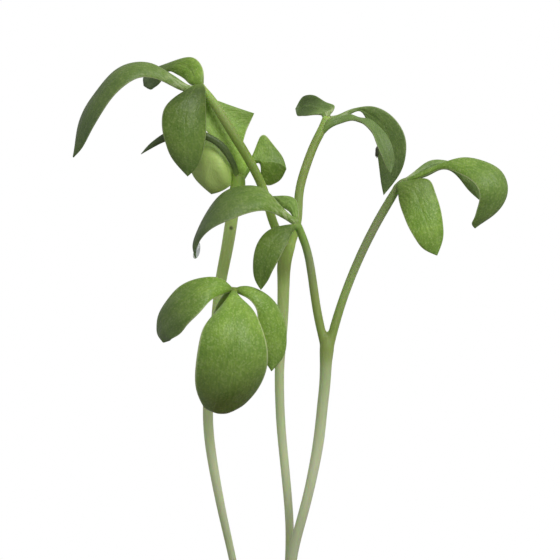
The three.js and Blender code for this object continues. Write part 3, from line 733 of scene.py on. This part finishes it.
def relax(points, edges, strength, rounds):
    """Moves each point towards the mean of its neighbours, by its own strength."""
    count = np.bincount(edges.ravel(), minlength=len(points))[:, None]
    for _ in range(rounds):
        total = np.zeros_like(points)
        np.add.at(total, edges[:, 0], points[edges[:, 1]])
        np.add.at(total, edges[:, 1], points[edges[:, 0]])
        points = points + strength[:, None] * (total / count - points)
    return points


def nearest_of(centres, points):
    """The number of the nearest centre to each point."""
    return np.argmin(((points[:, None] - centres[None]) ** 2).sum(2), 1)


def feet(line, leaflets):
    """Short tubes from the end of a stalk into the foot of each of its leaflets."""
    end = np.array(line[-1])
    before = np.array(line[-2])
    start = end + (before - end) * FEET_START
    thick, thin = FOOT_RADII
    for ribs in leaflets:
        first, second = [(np.array(rib[0]) + np.array(rib[-1])) / 2 for rib in ribs[:2]]
        onward = first + (second - first) * FEET_REACH
        yield [(*start[:3], end[3] * FEET_START_RADIUS), (*first, thick), (*onward, thin)]


def stem(side, stalks, material):
    """A stem and its two stalks grown into one, with smooth forks and the feet of the leaflets."""
    lines = list(stalks.items())
    for stalk in list(stalks)[1:]:
        start = stalk.removesuffix("stalk") + "leaflet"
        leaflets = [ribs for name, ribs in LEAFLETS.items() if name.startswith(start)]
        lines += [(stalk, line) for line in feet(stalks[stalk], leaflets)]

    # Overlapping tubes are made into one skin, in a mesh that is in millimetres until it is smooth
    points, faces, centres, reach, tints = [], [], [], [], []
    for stalk, line in lines:
        tube, centre, at = stalk_rings(line)
        heights = [height for height, _ in STALK_TINT_AND_PAINTED_LIGHT[stalk]]
        shares = np.array([tint for _, tint in STALK_TINT_AND_PAINTED_LIGHT[stalk]]).T
        tints.append(np.stack([np.interp(centre[:, 2], heights, share) for share in shares], 1))
        faces += [[i + len(points) for i in face] for face in skin_faces(len(centre), STEM_SIDES)]
        points += tube
        centres.append(centre)
        reach.append(at)
    piece = new_piece(side + "_seedling_stem", np.array(points) / MM, faces, material)
    piece.data.remesh_voxel_size = STEM_VOXEL
    bpy.context.view_layer.objects.active = piece
    bpy.ops.object.voxel_remesh()
    mesh = piece.data
    points = np.zeros((len(mesh.vertices), 3))
    mesh.vertices.foreach_get("co", points.ravel())
    edges = np.zeros((len(mesh.edges), 2), np.int64)
    mesh.edges.foreach_get("vertices", edges.ravel())
    near = np.zeros(len(points))
    for line, reach_of in zip(stalks.values(), FORK_REACH):
        away = distances(points, line[-1][:3])
        near = np.maximum(near, np.exp(-((away / reach_of) ** 2)))

    # The whole skin is smoothed a little and the forks much more
    points = relax(points, edges, 0.25 + 0.25 * near, SKIN_ROUNDS)
    points = relax(points, edges, 0.5 * near, FORK_ROUNDS)
    mesh.vertices.foreach_set("co", (points * MM).ravel())
    mesh.shade_smooth()

    # The points are matched with the centre lines in parts, which takes less memory
    centre = np.concatenate(centres)
    parts = np.array_split(points, MATCHING_PARTS)
    nearest = np.concatenate([nearest_of(centre[:, :3], part) for part in parts])
    leafy = np.zeros(len(points))
    for line in list(stalks.values())[1:]:
        away = distances(points, line[-1][:3])
        leafy = np.maximum(leafy, smoothstep(LEAFY_FROM, LEAFY_BY, away))
    tint = np.concatenate(tints)[nearest]
    offset = (points - centre[nearest, :3]) / centre[nearest, 3:]
    give(
        piece,
        leafy=leafy,
        tint=relax(tint, edges, np.full(len(points), 0.5), TINT_ROUNDS),
        scar=smoothstep(SCAR_RADIUS, SCAR_RADIUS / 2, distances(points, SCAR_PLACE)),
        grain=np.stack([offset[:, 0], offset[:, 1], np.concatenate(reach)[nearest]], 1),
    )
    return piece


def resampled(corners, step):
    """Points about a step apart on a closed outline."""
    corners = np.array([*corners, corners[0]], float)
    at = distances_along(corners)
    even = np.linspace(0, at[-1], round(at[-1] / step), endpoint=False)
    return np.stack([np.interp(even, at, corners[:, k]) for k in (0, 1)], 1)


def wall_radius(z):
    """The outer radius of the pot's tapering wall, below the collar."""
    return FOOT_RADIUS + (RIM_RADIUS - COLLAR_STEP - FOOT_RADIUS) * z / (POT_HEIGHT - COLLAR_HEIGHT)


def unevenness(place):
    """Slow and quick unevenness of the clay, in millimetres."""
    return 0.09 * noise.noise(place / 9) + 0.03 * noise.noise(place / 2)


def pot(material):
    """A turned pot with worn edges, a few small chips and slightly uneven walls."""
    random = np.random.default_rng(11)
    collar = POT_HEIGHT - COLLAR_HEIGHT
    under_collar = wall_radius(collar)
    mouth = RIM_RADIUS - WALL - EDGE_ROUND
    floor_edge = wall_radius(FLOOR) - WALL
    corners = [
        (DRAIN_RADIUS, 0),
        (FOOT_RADIUS, 0),
        (under_collar, collar),
        (RIM_RADIUS - EDGE_ROUND, collar),
        (RIM_RADIUS, POT_HEIGHT),
        (mouth, POT_HEIGHT),
        (under_collar - WALL, collar),
        (floor_edge, FLOOR),
        (DRAIN_RADIUS, FLOOR),
    ]
    profile = resampled(corners, PROFILE_STEP)
    for _ in range(PROFILE_ROUNDS):
        profile = profile / 2 + (np.roll(profile, 1, 0) + np.roll(profile, -1, 0)) / 4
    tangent = unit(np.roll(profile, -1, 0) - np.roll(profile, 1, 0))
    spoke = np.column_stack([circle(POT_SIDES), np.zeros(POT_SIDES)])
    up = np.array([0, 0, 1.0])
    surface = profile[:, None, :1] * spoke + profile[:, None, 1:] * up
    outward = tangent[:, None, 1:] * spoke - tangent[:, None, :1] * up

    points = surface.reshape(-1, 3)
    push = np.array([unevenness(Vector(p)) for p in points])

    # Chips at the rim, under the collar and at the foot, a little wider than high
    for _ in range(CHIPS):
        angle = random.uniform(0, 2 * np.pi)
        edge, z = random.choice([(RIM_RADIUS, POT_HEIGHT), (RIM_RADIUS - 0.5, collar), (FOOT_RADIUS, 0)])
        middle = np.array([edge * np.cos(angle), edge * np.sin(angle), z])
        away = np.linalg.norm((points - middle) * (1, 1, CHIP_FLATNESS), axis=1)
        size = random.uniform(*CHIP_SIZES)
        push -= CHIP_DEPTH * size * smoothstep(size, 0, away)
    points = points + outward.reshape(-1, 3) * np.minimum(push, 0)[:, None]

    faces = []
    for ring in range(len(profile)):
        following = (ring + 1) % len(profile)
        faces += ring_faces(ring * POT_SIDES, following * POT_SIDES, POT_SIDES)
    return new_piece("clay_pot", points, faces, material)


def ground_height(x, y):
    """The height of the compost's top."""
    dome = SOIL_DOME * (1 - (x * x + y * y) / DOME_SPREAD_SQUARED)
    clods = 0.7 * noise.noise(Vector((x, y, 0)) / 3.5) + 0.35 * noise.noise(Vector((x, y, 5)) / 1.2)
    return SOIL_TOP - 0.4 + dome + clods


class Heap:
    """Many small shapes in one mesh, each with its own shade."""

    def __init__(self):
        self.points, self.faces, self.shades, self.count = [], [], [], 0

    def add(self, points, faces, shade):
        self.faces += [[corner + self.count for corner in face] for face in faces]
        self.points.append(points)
        self.shades.append(np.full(len(points), shade))
        self.count += len(points)


def sphere(detail):
    """The points and faces of a ball of radius 1."""
    shape = bmesh.new()
    bmesh.ops.create_icosphere(shape, subdivisions=detail, radius=1)
    points = np.array([v.co for v in shape.verts])
    faces = [[v.index for v in face.verts] for face in shape.faces]
    shape.free()
    return points, faces


def lump(random, ball, size):
    """An uneven, slightly flattened pebble shape, turned at random."""
    direction = unit(random.normal(size=(5, 3)))
    bulge = (np.clip(ball @ direction.T, 0, 1) ** 3) @ random.uniform(-0.35, 0.3, 5)
    dent = 0.08 * np.sin(ball @ random.normal(size=(3, 4)) * 4).sum(1)
    turned, _ = np.linalg.qr(random.normal(size=(3, 3)))
    return (ball * (1 + bulge + dent)[:, None] * random.uniform(0.6, 1.1, 3)) @ turned * size


def droplet(material):
    """Clear water that hangs from the tip of a leaflet."""
    ball, faces = sphere(4)
    shape = ball * DROPLET_SIZE
    shape[:, :2] *= 1 - DROPLET_TAPER * ball[:, 2:]
    shape[:, 0] += DROPLET_LEAN * shape[:, 2]
    return new_piece("water_droplet", shape + DROPLET_PLACE, faces, material)


def seed_coat(material):
    """A dark scrap of the seed's coat that still clings to the edge of a leaflet."""
    random = np.random.default_rng(8)
    ball, faces = sphere(4)
    dents = np.sin(ball @ random.normal(size=(3, 4)) * 3.5).sum(1, keepdims=True)
    shape = ball * (1 + 0.1 * dents)
    return new_piece("seed_coat", shape * SEED_COAT_SIZE + SEED_COAT_PLACE, faces, material)


def scatter(random, reach):
    """A place at random, no further than reach from the middle."""
    distance = reach * np.sqrt(random.random())
    angle = random.uniform(0, 2 * np.pi)
    return distance * np.cos(angle), distance * np.sin(angle)


def compost(material):
    """A plug of compost: an uneven top strewn with crumbs, wood fibres and a few white grains."""
    random = np.random.default_rng(5)
    heap = Heap()
    gap = WALL + SOIL_GAP
    collar = POT_HEIGHT - COLLAR_HEIGHT
    shoulder = wall_radius(SOIL_TOP) - gap - 0.35
    spoke = circle(GROUND_SIDES)
    bottom = FLOOR + SOIL_GAP
    rings = [(wall_radius(FLOOR) - gap, bottom), (wall_radius(collar) - gap, collar)]
    points = [np.column_stack([radius * spoke, np.full(GROUND_SIDES, z)]) for radius, z in rings]
    for radius in np.linspace(shoulder, 0.3, GROUND_RINGS):
        flat = radius * spoke
        points.append(np.column_stack([flat, [ground_height(x, y) for x, y in flat]]))
    ends = [(0, 0, bottom), (0, 0, ground_height(0, 0))]
    ground = np.concatenate([*points, ends])
    heap.add(ground, skin_faces(len(points), GROUND_SIDES), GROUND_SHADE)

    # Crumbs, most of them small, then white grains, then fibres that rise towards one end
    balls = {detail: sphere(detail) for detail in (2, 3)}
    for _ in range(CRUMBS):
        size = SMALLEST_CRUMB * CRUMB_RANGE ** random.random()
        x, y = scatter(random, shoulder - size * 0.8)
        ball, faces = balls[3 if size > 0.6 else 2]
        middle = (x, y, ground_height(x, y) + size * random.uniform(-0.2, 0.35))
        heap.add(lump(random, ball, size) + middle, faces, random.uniform(*CRUMB_SHADES))
    for _ in range(PERLITE):
        size = random.uniform(0.35, 0.8)
        x, y = scatter(random, PERLITE_SPREAD)
        ball, faces = balls[3]
        middle = (x, y, ground_height(x, y) + size * 0.4)
        heap.add(lump(random, ball, size) + middle, faces, WHITE_SHADE)
    for _ in range(FIBRES):
        x, y = random.uniform(-FIBRE_SPREAD, FIBRE_SPREAD, 2)
        length = random.uniform(1.2, 5)
        heading = random.uniform(0, 2 * np.pi)
        bend = random.uniform(-0.7, 0.7)
        lift = random.uniform(0, 0.7)
        girth = random.uniform(0.05, 0.16)
        line = []
        for share in np.linspace(-0.5, 0.5, 5):
            course = heading + bend * share
            there_x = x + length * share * np.cos(course)
            there_y = y + length * share * np.sin(course)
            z = ground_height(there_x, there_y) + 0.35 + lift * (share + 0.5)
            line.append((there_x, there_y, z, girth * (1 - abs(share))))
        tube, centre, _ = stalk_rings(line, FIBRE_SIDES)
        faces = skin_faces(len(centre), FIBRE_SIDES)
        heap.add(np.array(tube), faces, random.uniform(*WOOD_SHADES))
    piece = new_piece("compost", np.concatenate(heap.points), heap.faces, material)
    give(piece, shade=np.concatenate(heap.shades))
    return piece


# The numbers of a Mix node's colour sockets, which share their names with other sockets
MIX_A = 6
MIX_B = 7
MIX_RESULT = 2


class Graph:
    """The nodes of a material or of the world, made by short calls that return sockets."""

    def __init__(self, name, owners=bpy.data.materials):
        self.owner = owners.new(name)
        self.owner.use_nodes = True
        self.tree = self.owner.node_tree
        self.tree.nodes.clear()

    def node(self, kind, inputs=(), **settings):
        """A node, with its inputs linked or set by name or number."""
        made = self.tree.nodes.new("ShaderNode" + kind)
        for key, value in settings.items():
            setattr(made, key, value)
        for key, value in dict(inputs).items():
            if isinstance(value, bpy.types.NodeSocket):
                self.tree.links.new(value, made.inputs[key])
            else:
                made.inputs[key].default_value = value
        return made

    def read(self, name, kind="Fac"):
        """A number stored on the surface, or with Vector as the kind a vector."""
        return self.node("Attribute", attribute_name=name).outputs[kind]

    def place(self):
        """Object coordinates, in millimetres."""
        coordinates = self.node("TexCoord").outputs["Object"]
        return self.scaled(coordinates, (1 / MM,) * 3)

    def scaled(self, vector, scale):
        return self.node("VectorMath", {0: vector, 1: scale}, operation="MULTIPLY").outputs[0]

    def math(self, operation, a, b=0.0, clamp=False):
        return self.node("Math", {0: a, 1: b}, operation=operation, use_clamp=clamp).outputs[0]

    def band(self, value, low, high):
        """What the function smoothstep gives."""
        inputs = {"Value": value, "From Min": low, "From Max": high}
        return self.node("MapRange", inputs, interpolation_type="SMOOTHSTEP").outputs[0]

    def noise(self, vector, scale, detail=3.0, roughness=0.5):
        inputs = {"Vector": vector, "Scale": scale, "Detail": detail, "Roughness": roughness}
        return self.node("TexNoise", inputs).outputs["Fac"]

    def cells(self, vector, scale):
        """The distance to the middle of the nearest cell, and a random colour for each cell."""
        made = self.node("TexVoronoi", {"Vector": vector, "Scale": scale})
        return made.outputs["Distance"], made.outputs["Color"]

    def mix(self, share, a, b, blend="MIX"):
        """The colour a where share is 0 and b where it is 1."""
        inputs = {"Factor": share, MIX_A: a, MIX_B: b}
        return self.node("Mix", inputs, data_type="RGBA", blend_type=blend).outputs[MIX_RESULT]

    def bump(self, height, distance, strength):
        inputs = {"Height": height, "Distance": distance, "Strength": strength}
        return self.node("Bump", inputs).outputs[0]

    def blend(self, under, share, strength, over):
        """One colour laid over another by a share from 0 to 1, times a strength."""
        return self.mix(self.math("MULTIPLY", share, strength), under, over)

    def finish(self, **inputs):
        """Ends in one Principled shader. Names have _ for a space."""
        values = {key.replace("_", " "): value for key, value in inputs.items()}
        shader = self.node("BsdfPrincipled", values)
        self.node("OutputMaterial", {"Surface": shader.outputs[0]})
        return self.owner


def rgb(red, green, blue):
    """A linear colour from one as seen on a screen, 0 to 255."""
    parts = [c / 255 for c in (red, green, blue)]
    return (*[c / 12.92 if c <= 0.04045 else ((c + 0.055) / 1.055) ** 2.4 for c in parts], 1)


def leaf_material():
    g = Graph("leaf")
    grain = g.read("grain", "Vector")
    along, across = g.read("along"), g.read("across")
    upper, pale, tone = g.read("upper"), g.read("pale"), g.read("tone")
    grey, pale_foot = g.read("grey"), g.read("pale_foot")
    patches = g.noise(grain, 0.45, 3)
    fibres = g.noise(g.scaled(grain, (4.5, 1, 1)), 1, 4, 0.6)
    veins = g.cells(g.scaled(grain, (1, 0.7, 1)), 3.6)[0]
    cell, cell_colour = g.cells(grain, 7)
    cell_share = g.node("SeparateColor", {"Color": cell_colour}).outputs[0]

    tint = g.mix(g.band(patches, 0.35, 0.68), rgb(112, 146, 50), rgb(130, 162, 62))
    tint = g.blend(tint, g.band(fibres, 0.45, 0.75), 0.45, rgb(156, 182, 92))
    tint = g.blend(tint, g.band(fibres, 0.5, 0.25), 0.4, rgb(88, 122, 40))
    tint = g.blend(tint, g.band(veins, 0.35, 0.6), 0.32, rgb(94, 128, 42))
    tint = g.blend(tint, g.band(cell_share, 0.6, 1.0), 0.4, rgb(166, 188, 112))
    under = g.mix(0.45, tint, rgb(126, 150, 100))
    tint = g.mix(g.band(upper, 0.3, -0.3), tint, under)
    # Paler, yellower leaflets; on left_top_leaflet_2 this is partly a painted glow of light through the
    # blade
    tint = g.blend(tint, pale, 0.8, rgb(172, 194, 108))
    # A painted highlight: a pale rim along the edges, where they catch the light
    edge = g.band(g.math("ABSOLUTE", across), 0.93, 1.0)
    tint = g.blend(tint, edge, 0.75, rgb(196, 208, 152))
    # Each leaflet's tone, partly painted light and shade that brightens some leaflets and darkens others
    tones = g.node("CombineColor", {"Red": tone, "Green": tone, "Blue": tone}).outputs[0]
    tint = g.mix(1, tint, tones, "MULTIPLY")
    # Painted shade: darker towards the tip, where the blade turns away from the light
    tint = g.blend(tint, g.band(along, 0.5, 1), 0.25, rgb(72, 88, 58))
    from_rib = g.math("ABSOLUTE", g.node("SeparateXYZ", {"Vector": grain}).outputs[0])
    tint = g.blend(tint, g.band(from_rib, 0.14, 0.02), 0.1, rgb(160, 188, 104))
    # A painted grey sheen of reflected light, blended in by each leaflet's grey from its base to its tip
    tint = g.blend(tint, grey, 0.5, g.mix(fibres, rgb(84, 98, 76), rgb(112, 126, 98)))
    # A pale foot with whitish streaks, partly a painted highlight of its gloss
    streaked = g.math("MULTIPLY", g.band(fibres, 0.4, 0.6), pale_foot)
    foot = g.mix(streaked, rgb(122, 154, 62), rgb(196, 210, 156))
    reach = g.math("ADD", g.math("MULTIPLY", pale_foot, 0.2), 0.14)
    tint = g.blend(tint, g.band(g.math("DIVIDE", along, reach), 1, 0.2), 0.7, foot)

    height = g.math("ADD", g.math("MULTIPLY", cell, 0.4), g.math("MULTIPLY", fibres, 0.9))
    height = g.math("SUBTRACT", height, g.math("MULTIPLY", veins, 0.5))
    rough = g.math("ADD", g.math("MULTIPLY", fibres, 0.2), 0.3)
    return g.finish(
        Base_Color=tint,
        Roughness=rough,
        Normal=g.bump(height, 0.05 * MM, 0.9),
        IOR=1.45,
        Subsurface_Weight=0.2,
        Subsurface_Radius=(0.5, 0.8, 0.15),
        Subsurface_Scale=0.5 * MM,
    )


def stem_material():
    g = Graph("stem")
    grain = g.read("grain", "Vector")
    place = g.place()
    height = g.node("SeparateXYZ", {"Vector": place}).outputs[2]
    streaks = g.noise(g.scaled(grain, (3.2, 3.2, 0.5)), 1, 4, 0.6)
    specks = g.noise(place, 5, 3)
    low = g.mix(streaks, rgb(204, 214, 172), rgb(226, 231, 202))
    high = g.mix(streaks, rgb(140, 164, 84), rgb(176, 196, 124))
    tint = g.mix(g.band(height, 64, 86), low, high)
    tint = g.blend(tint, g.band(specks, 0.55, 0.8), 0.3, rgb(206, 216, 166))
    leafy = g.mix(streaks, rgb(118, 150, 58), rgb(152, 182, 92))
    tint = g.blend(tint, g.read("leafy"), 0.8, leafy)
    # The stalk's tint: partly its own colour, partly painted light and shade
    tint = g.mix(1, tint, g.read("tint", "Vector"), "MULTIPLY")
    tint = g.blend(tint, g.read("scar"), 0.75, rgb(52, 50, 24))
    tint = g.blend(tint, g.band(height, 67, 59), 0.4, rgb(150, 160, 122))
    tint = g.mix(g.band(height, 46, 38), tint, rgb(196, 196, 172))
    bumps = g.math("ADD", streaks, g.math("MULTIPLY", specks, 0.4))
    return g.finish(
        Base_Color=tint,
        Roughness=g.math("ADD", g.math("MULTIPLY", streaks, 0.25), 0.33),
        Normal=g.bump(bumps, 0.03 * MM, 0.7),
        IOR=1.4,
        Subsurface_Weight=1.0,
        Subsurface_Radius=(0.5, 0.8, 0.25),
        Subsurface_Scale=1.2 * MM,
    )


def water_material():
    g = Graph("water")
    ripple = g.noise(g.place(), 1.5, 2)
    return g.finish(
        Base_Color=g.mix(ripple, rgb(240, 250, 246), rgb(250, 255, 253)),
        Roughness=0.03,
        Normal=g.bump(ripple, 0.02 * MM, 0.5),
        IOR=1.33,
        Transmission_Weight=1.0,
    )


def seed_coat_material():
    g = Graph("seed_coat")
    wrinkles = g.noise(g.scaled(g.place(), (1, 1, 0.5)), 6, 4, 0.7)
    tint = g.mix(wrinkles, rgb(52, 58, 40), rgb(104, 108, 82))
    return g.finish(Base_Color=tint, Roughness=0.6, Normal=g.bump(wrinkles, 0.08 * MM, 0.9))


def clay_material():
    g = Graph("terracotta")
    place = g.place()
    height = g.node("SeparateXYZ", {"Vector": place}).outputs[2]
    clouds = g.noise(place, 0.12, 5, 0.6)
    mottle = g.noise(place, 0.9, 5, 0.65)
    turning = g.noise(g.scaled(place, (0.05, 0.05, 2.4)), 1, 4, 0.6)
    grit, grit_colour = g.cells(place, 2.2)
    grit_share = g.node("SeparateColor", {"Color": grit_colour}).outputs[0]
    pore = g.cells(place, 1.3)[0]

    tint = g.mix(g.band(clouds, 0.3, 0.7), rgb(176, 100, 62), rgb(202, 127, 86))
    tint = g.blend(tint, g.band(mottle, 0.45, 0.75), 0.4, rgb(216, 148, 110))
    tint = g.blend(tint, g.band(turning, 0.5, 0.72), 0.25, rgb(160, 88, 56))
    speck = g.math("MULTIPLY", g.band(grit_share, 0.93, 0.97), g.band(grit, 0.3, 0.16))
    tint = g.blend(tint, speck, 0.6, rgb(226, 182, 148))

    # Salts bloom near the foot and about the collar, and the inside is damp above the compost
    bloom = g.math("MULTIPLY", g.band(g.noise(place, 0.22, 6, 0.7), 0.52, 0.72), 0.55)
    salty = g.math("ADD", g.band(height, 9, 1), g.math("MULTIPLY", g.band(height, 30, 37), 0.5))
    bloom = g.math("MULTIPLY", bloom, g.math("ADD", salty, 0.25), clamp=True)
    tint = g.mix(bloom, tint, rgb(226, 208, 190))
    flat = g.scaled(place, (1, 1, 0))
    radius = g.node("VectorMath", {0: flat}, operation="LENGTH").outputs["Value"]
    inner = g.math("MULTIPLY", g.band(radius, 21.9, 21.3), g.band(height, 33, 35))
    tide = g.math("ADD", height, g.math("MULTIPLY", mottle, 3))
    damp = g.math("MULTIPLY", inner, g.band(tide, 42, 39.5))
    tint = g.blend(tint, damp, 0.75, rgb(96, 60, 42))

    pits = g.math("MULTIPLY", g.band(pore, 0.16, 0.04), -0.5)
    rough = g.math("ADD", g.math("MULTIPLY", mottle, 0.2), 0.72)
    fine = g.math("ADD", g.noise(place, 6, 4, 0.6), pits)
    fine = g.math("ADD", g.math("MULTIPLY", turning, 0.8), fine)
    return g.finish(Base_Color=tint, Roughness=rough, Normal=g.bump(fine, 0.12 * MM, 0.8), IOR=1.45)


def compost_material():
    g = Graph("compost")
    place = g.place()
    shade = g.read("shade")
    coarse = g.noise(place, 1.4, 5, 0.6)
    fine = g.noise(place, 7, 4, 0.7)
    tint = g.mix(g.band(shade, 0, 0.7), rgb(46, 32, 24), rgb(84, 61, 44))
    tint = g.blend(tint, g.band(coarse, 0.45, 0.7), 0.5, rgb(104, 78, 56))
    tint = g.blend(tint, g.band(fine, 0.55, 0.7), 0.5, rgb(30, 21, 16))
    wood = g.mix(g.band(fine, 0.35, 0.65), rgb(112, 80, 50), rgb(160, 124, 84))
    tint = g.mix(g.band(shade, 0.7, 0.8), tint, wood)
    white = g.mix(g.band(fine, 0.3, 0.7), rgb(226, 222, 212), rgb(196, 190, 178))
    tint = g.mix(g.band(shade, 1.4, 1.6), tint, white)
    rough = g.math("ADD", g.math("MULTIPLY", coarse, 0.3), 0.62)
    bump = g.bump(g.math("ADD", coarse, fine), 0.2 * MM, 0.9)
    return g.finish(Base_Color=tint, Roughness=rough, Normal=bump)


def stage_material():
    g = Graph("stage")
    cloud = g.noise(g.node("TexCoord").outputs["Object"], 3, 2)
    tint = g.mix(cloud, (0.86, 0.86, 0.86, 1), (0.9, 0.9, 0.9, 1))
    return g.finish(Base_Color=tint, Roughness=0.7)


def make_stage():
    mesh = bpy.data.meshes.new("stage")
    shape = bmesh.new()
    bmesh.ops.create_circle(shape, cap_ends=True, radius=1.1, segments=128)
    shape.to_mesh(mesh)
    shape.free()
    mesh.materials.append(stage_material())
    floor = new_object("stage", mesh)
    floor.visible_diffuse = False
    floor.visible_glossy = False


def make_camera():
    data = bpy.data.cameras.new("camera")
    data.sensor_width = SENSOR
    data.lens = SENSOR * VIEW_DISTANCE / VIEW_WIDTH
    data.clip_end = 20
    camera = new_object("camera", data)
    camera.location = (0, -VIEW_DISTANCE, VIEW_HEIGHT)
    camera.rotation_euler = (np.pi / 2, 0, 0)
    bpy.context.scene.camera = camera


def make_light():
    data = bpy.data.lights.new("key", "AREA")
    data.shape = "DISK"
    data.size = LIGHT_SIZE
    data.energy = LIGHT_POWER
    light = new_object("key", data)
    light.location = LIGHT_PLACE
    toward = Vector((0, 0, VIEW_HEIGHT)) - Vector(LIGHT_PLACE)
    light.rotation_euler = toward.to_track_quat("-Z", "Y").to_euler()
    light.visible_camera = False


def make_world():
    """White to the camera. For lighting, a grey that is brighter above than below."""
    g = Graph("world", bpy.data.worlds)
    bpy.context.scene.world = g.owner
    direction = g.node("TexCoord").outputs["Generated"]
    inputs = {"Value": g.node("SeparateXYZ", {0: direction}).outputs[2]}
    inputs["From Min"], inputs["From Max"] = WORLD_HEIGHTS
    inputs["To Min"], inputs["To Max"] = WORLD_STRENGTHS
    strength = g.node("MapRange", inputs).outputs[0]
    light = g.node("Background", {"Strength": strength}).outputs[0]
    white = g.node("Background", {"Color": (1, 1, 1, 1)}).outputs[0]
    seen = g.node("LightPath").outputs["Is Camera Ray"]
    mixed = g.node("MixShader", {0: seen, 1: light, 2: white}).outputs[0]
    g.node("OutputWorld", {"Surface": mixed})


bpy.context.scene.view_settings.view_transform = "Standard"
make_camera()
make_world()
make_stage()
make_light()

green = leaf_material()
for number, (name, ribs) in enumerate(LEAFLETS.items()):
    blade = leaflet(name, ribs, green, number)
    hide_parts(name)
    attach(blade, BODY)

stalk_green = stem_material()
for side in ("left", "middle", "right"):
    stalks = {name: line for name, line in STALKS.items() if name.startswith(side)}
    grown = stem(side, stalks, stalk_green)
    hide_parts(*stalks)
    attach(grown, BODY)

water = droplet(water_material())
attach(water, BODY)
scrap = seed_coat(seed_coat_material())
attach(scrap, BODY)

jar = pot(clay_material())
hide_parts("pot")
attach(jar, BODY)

ground = compost(compost_material())
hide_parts("soil")
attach(ground, BODY)
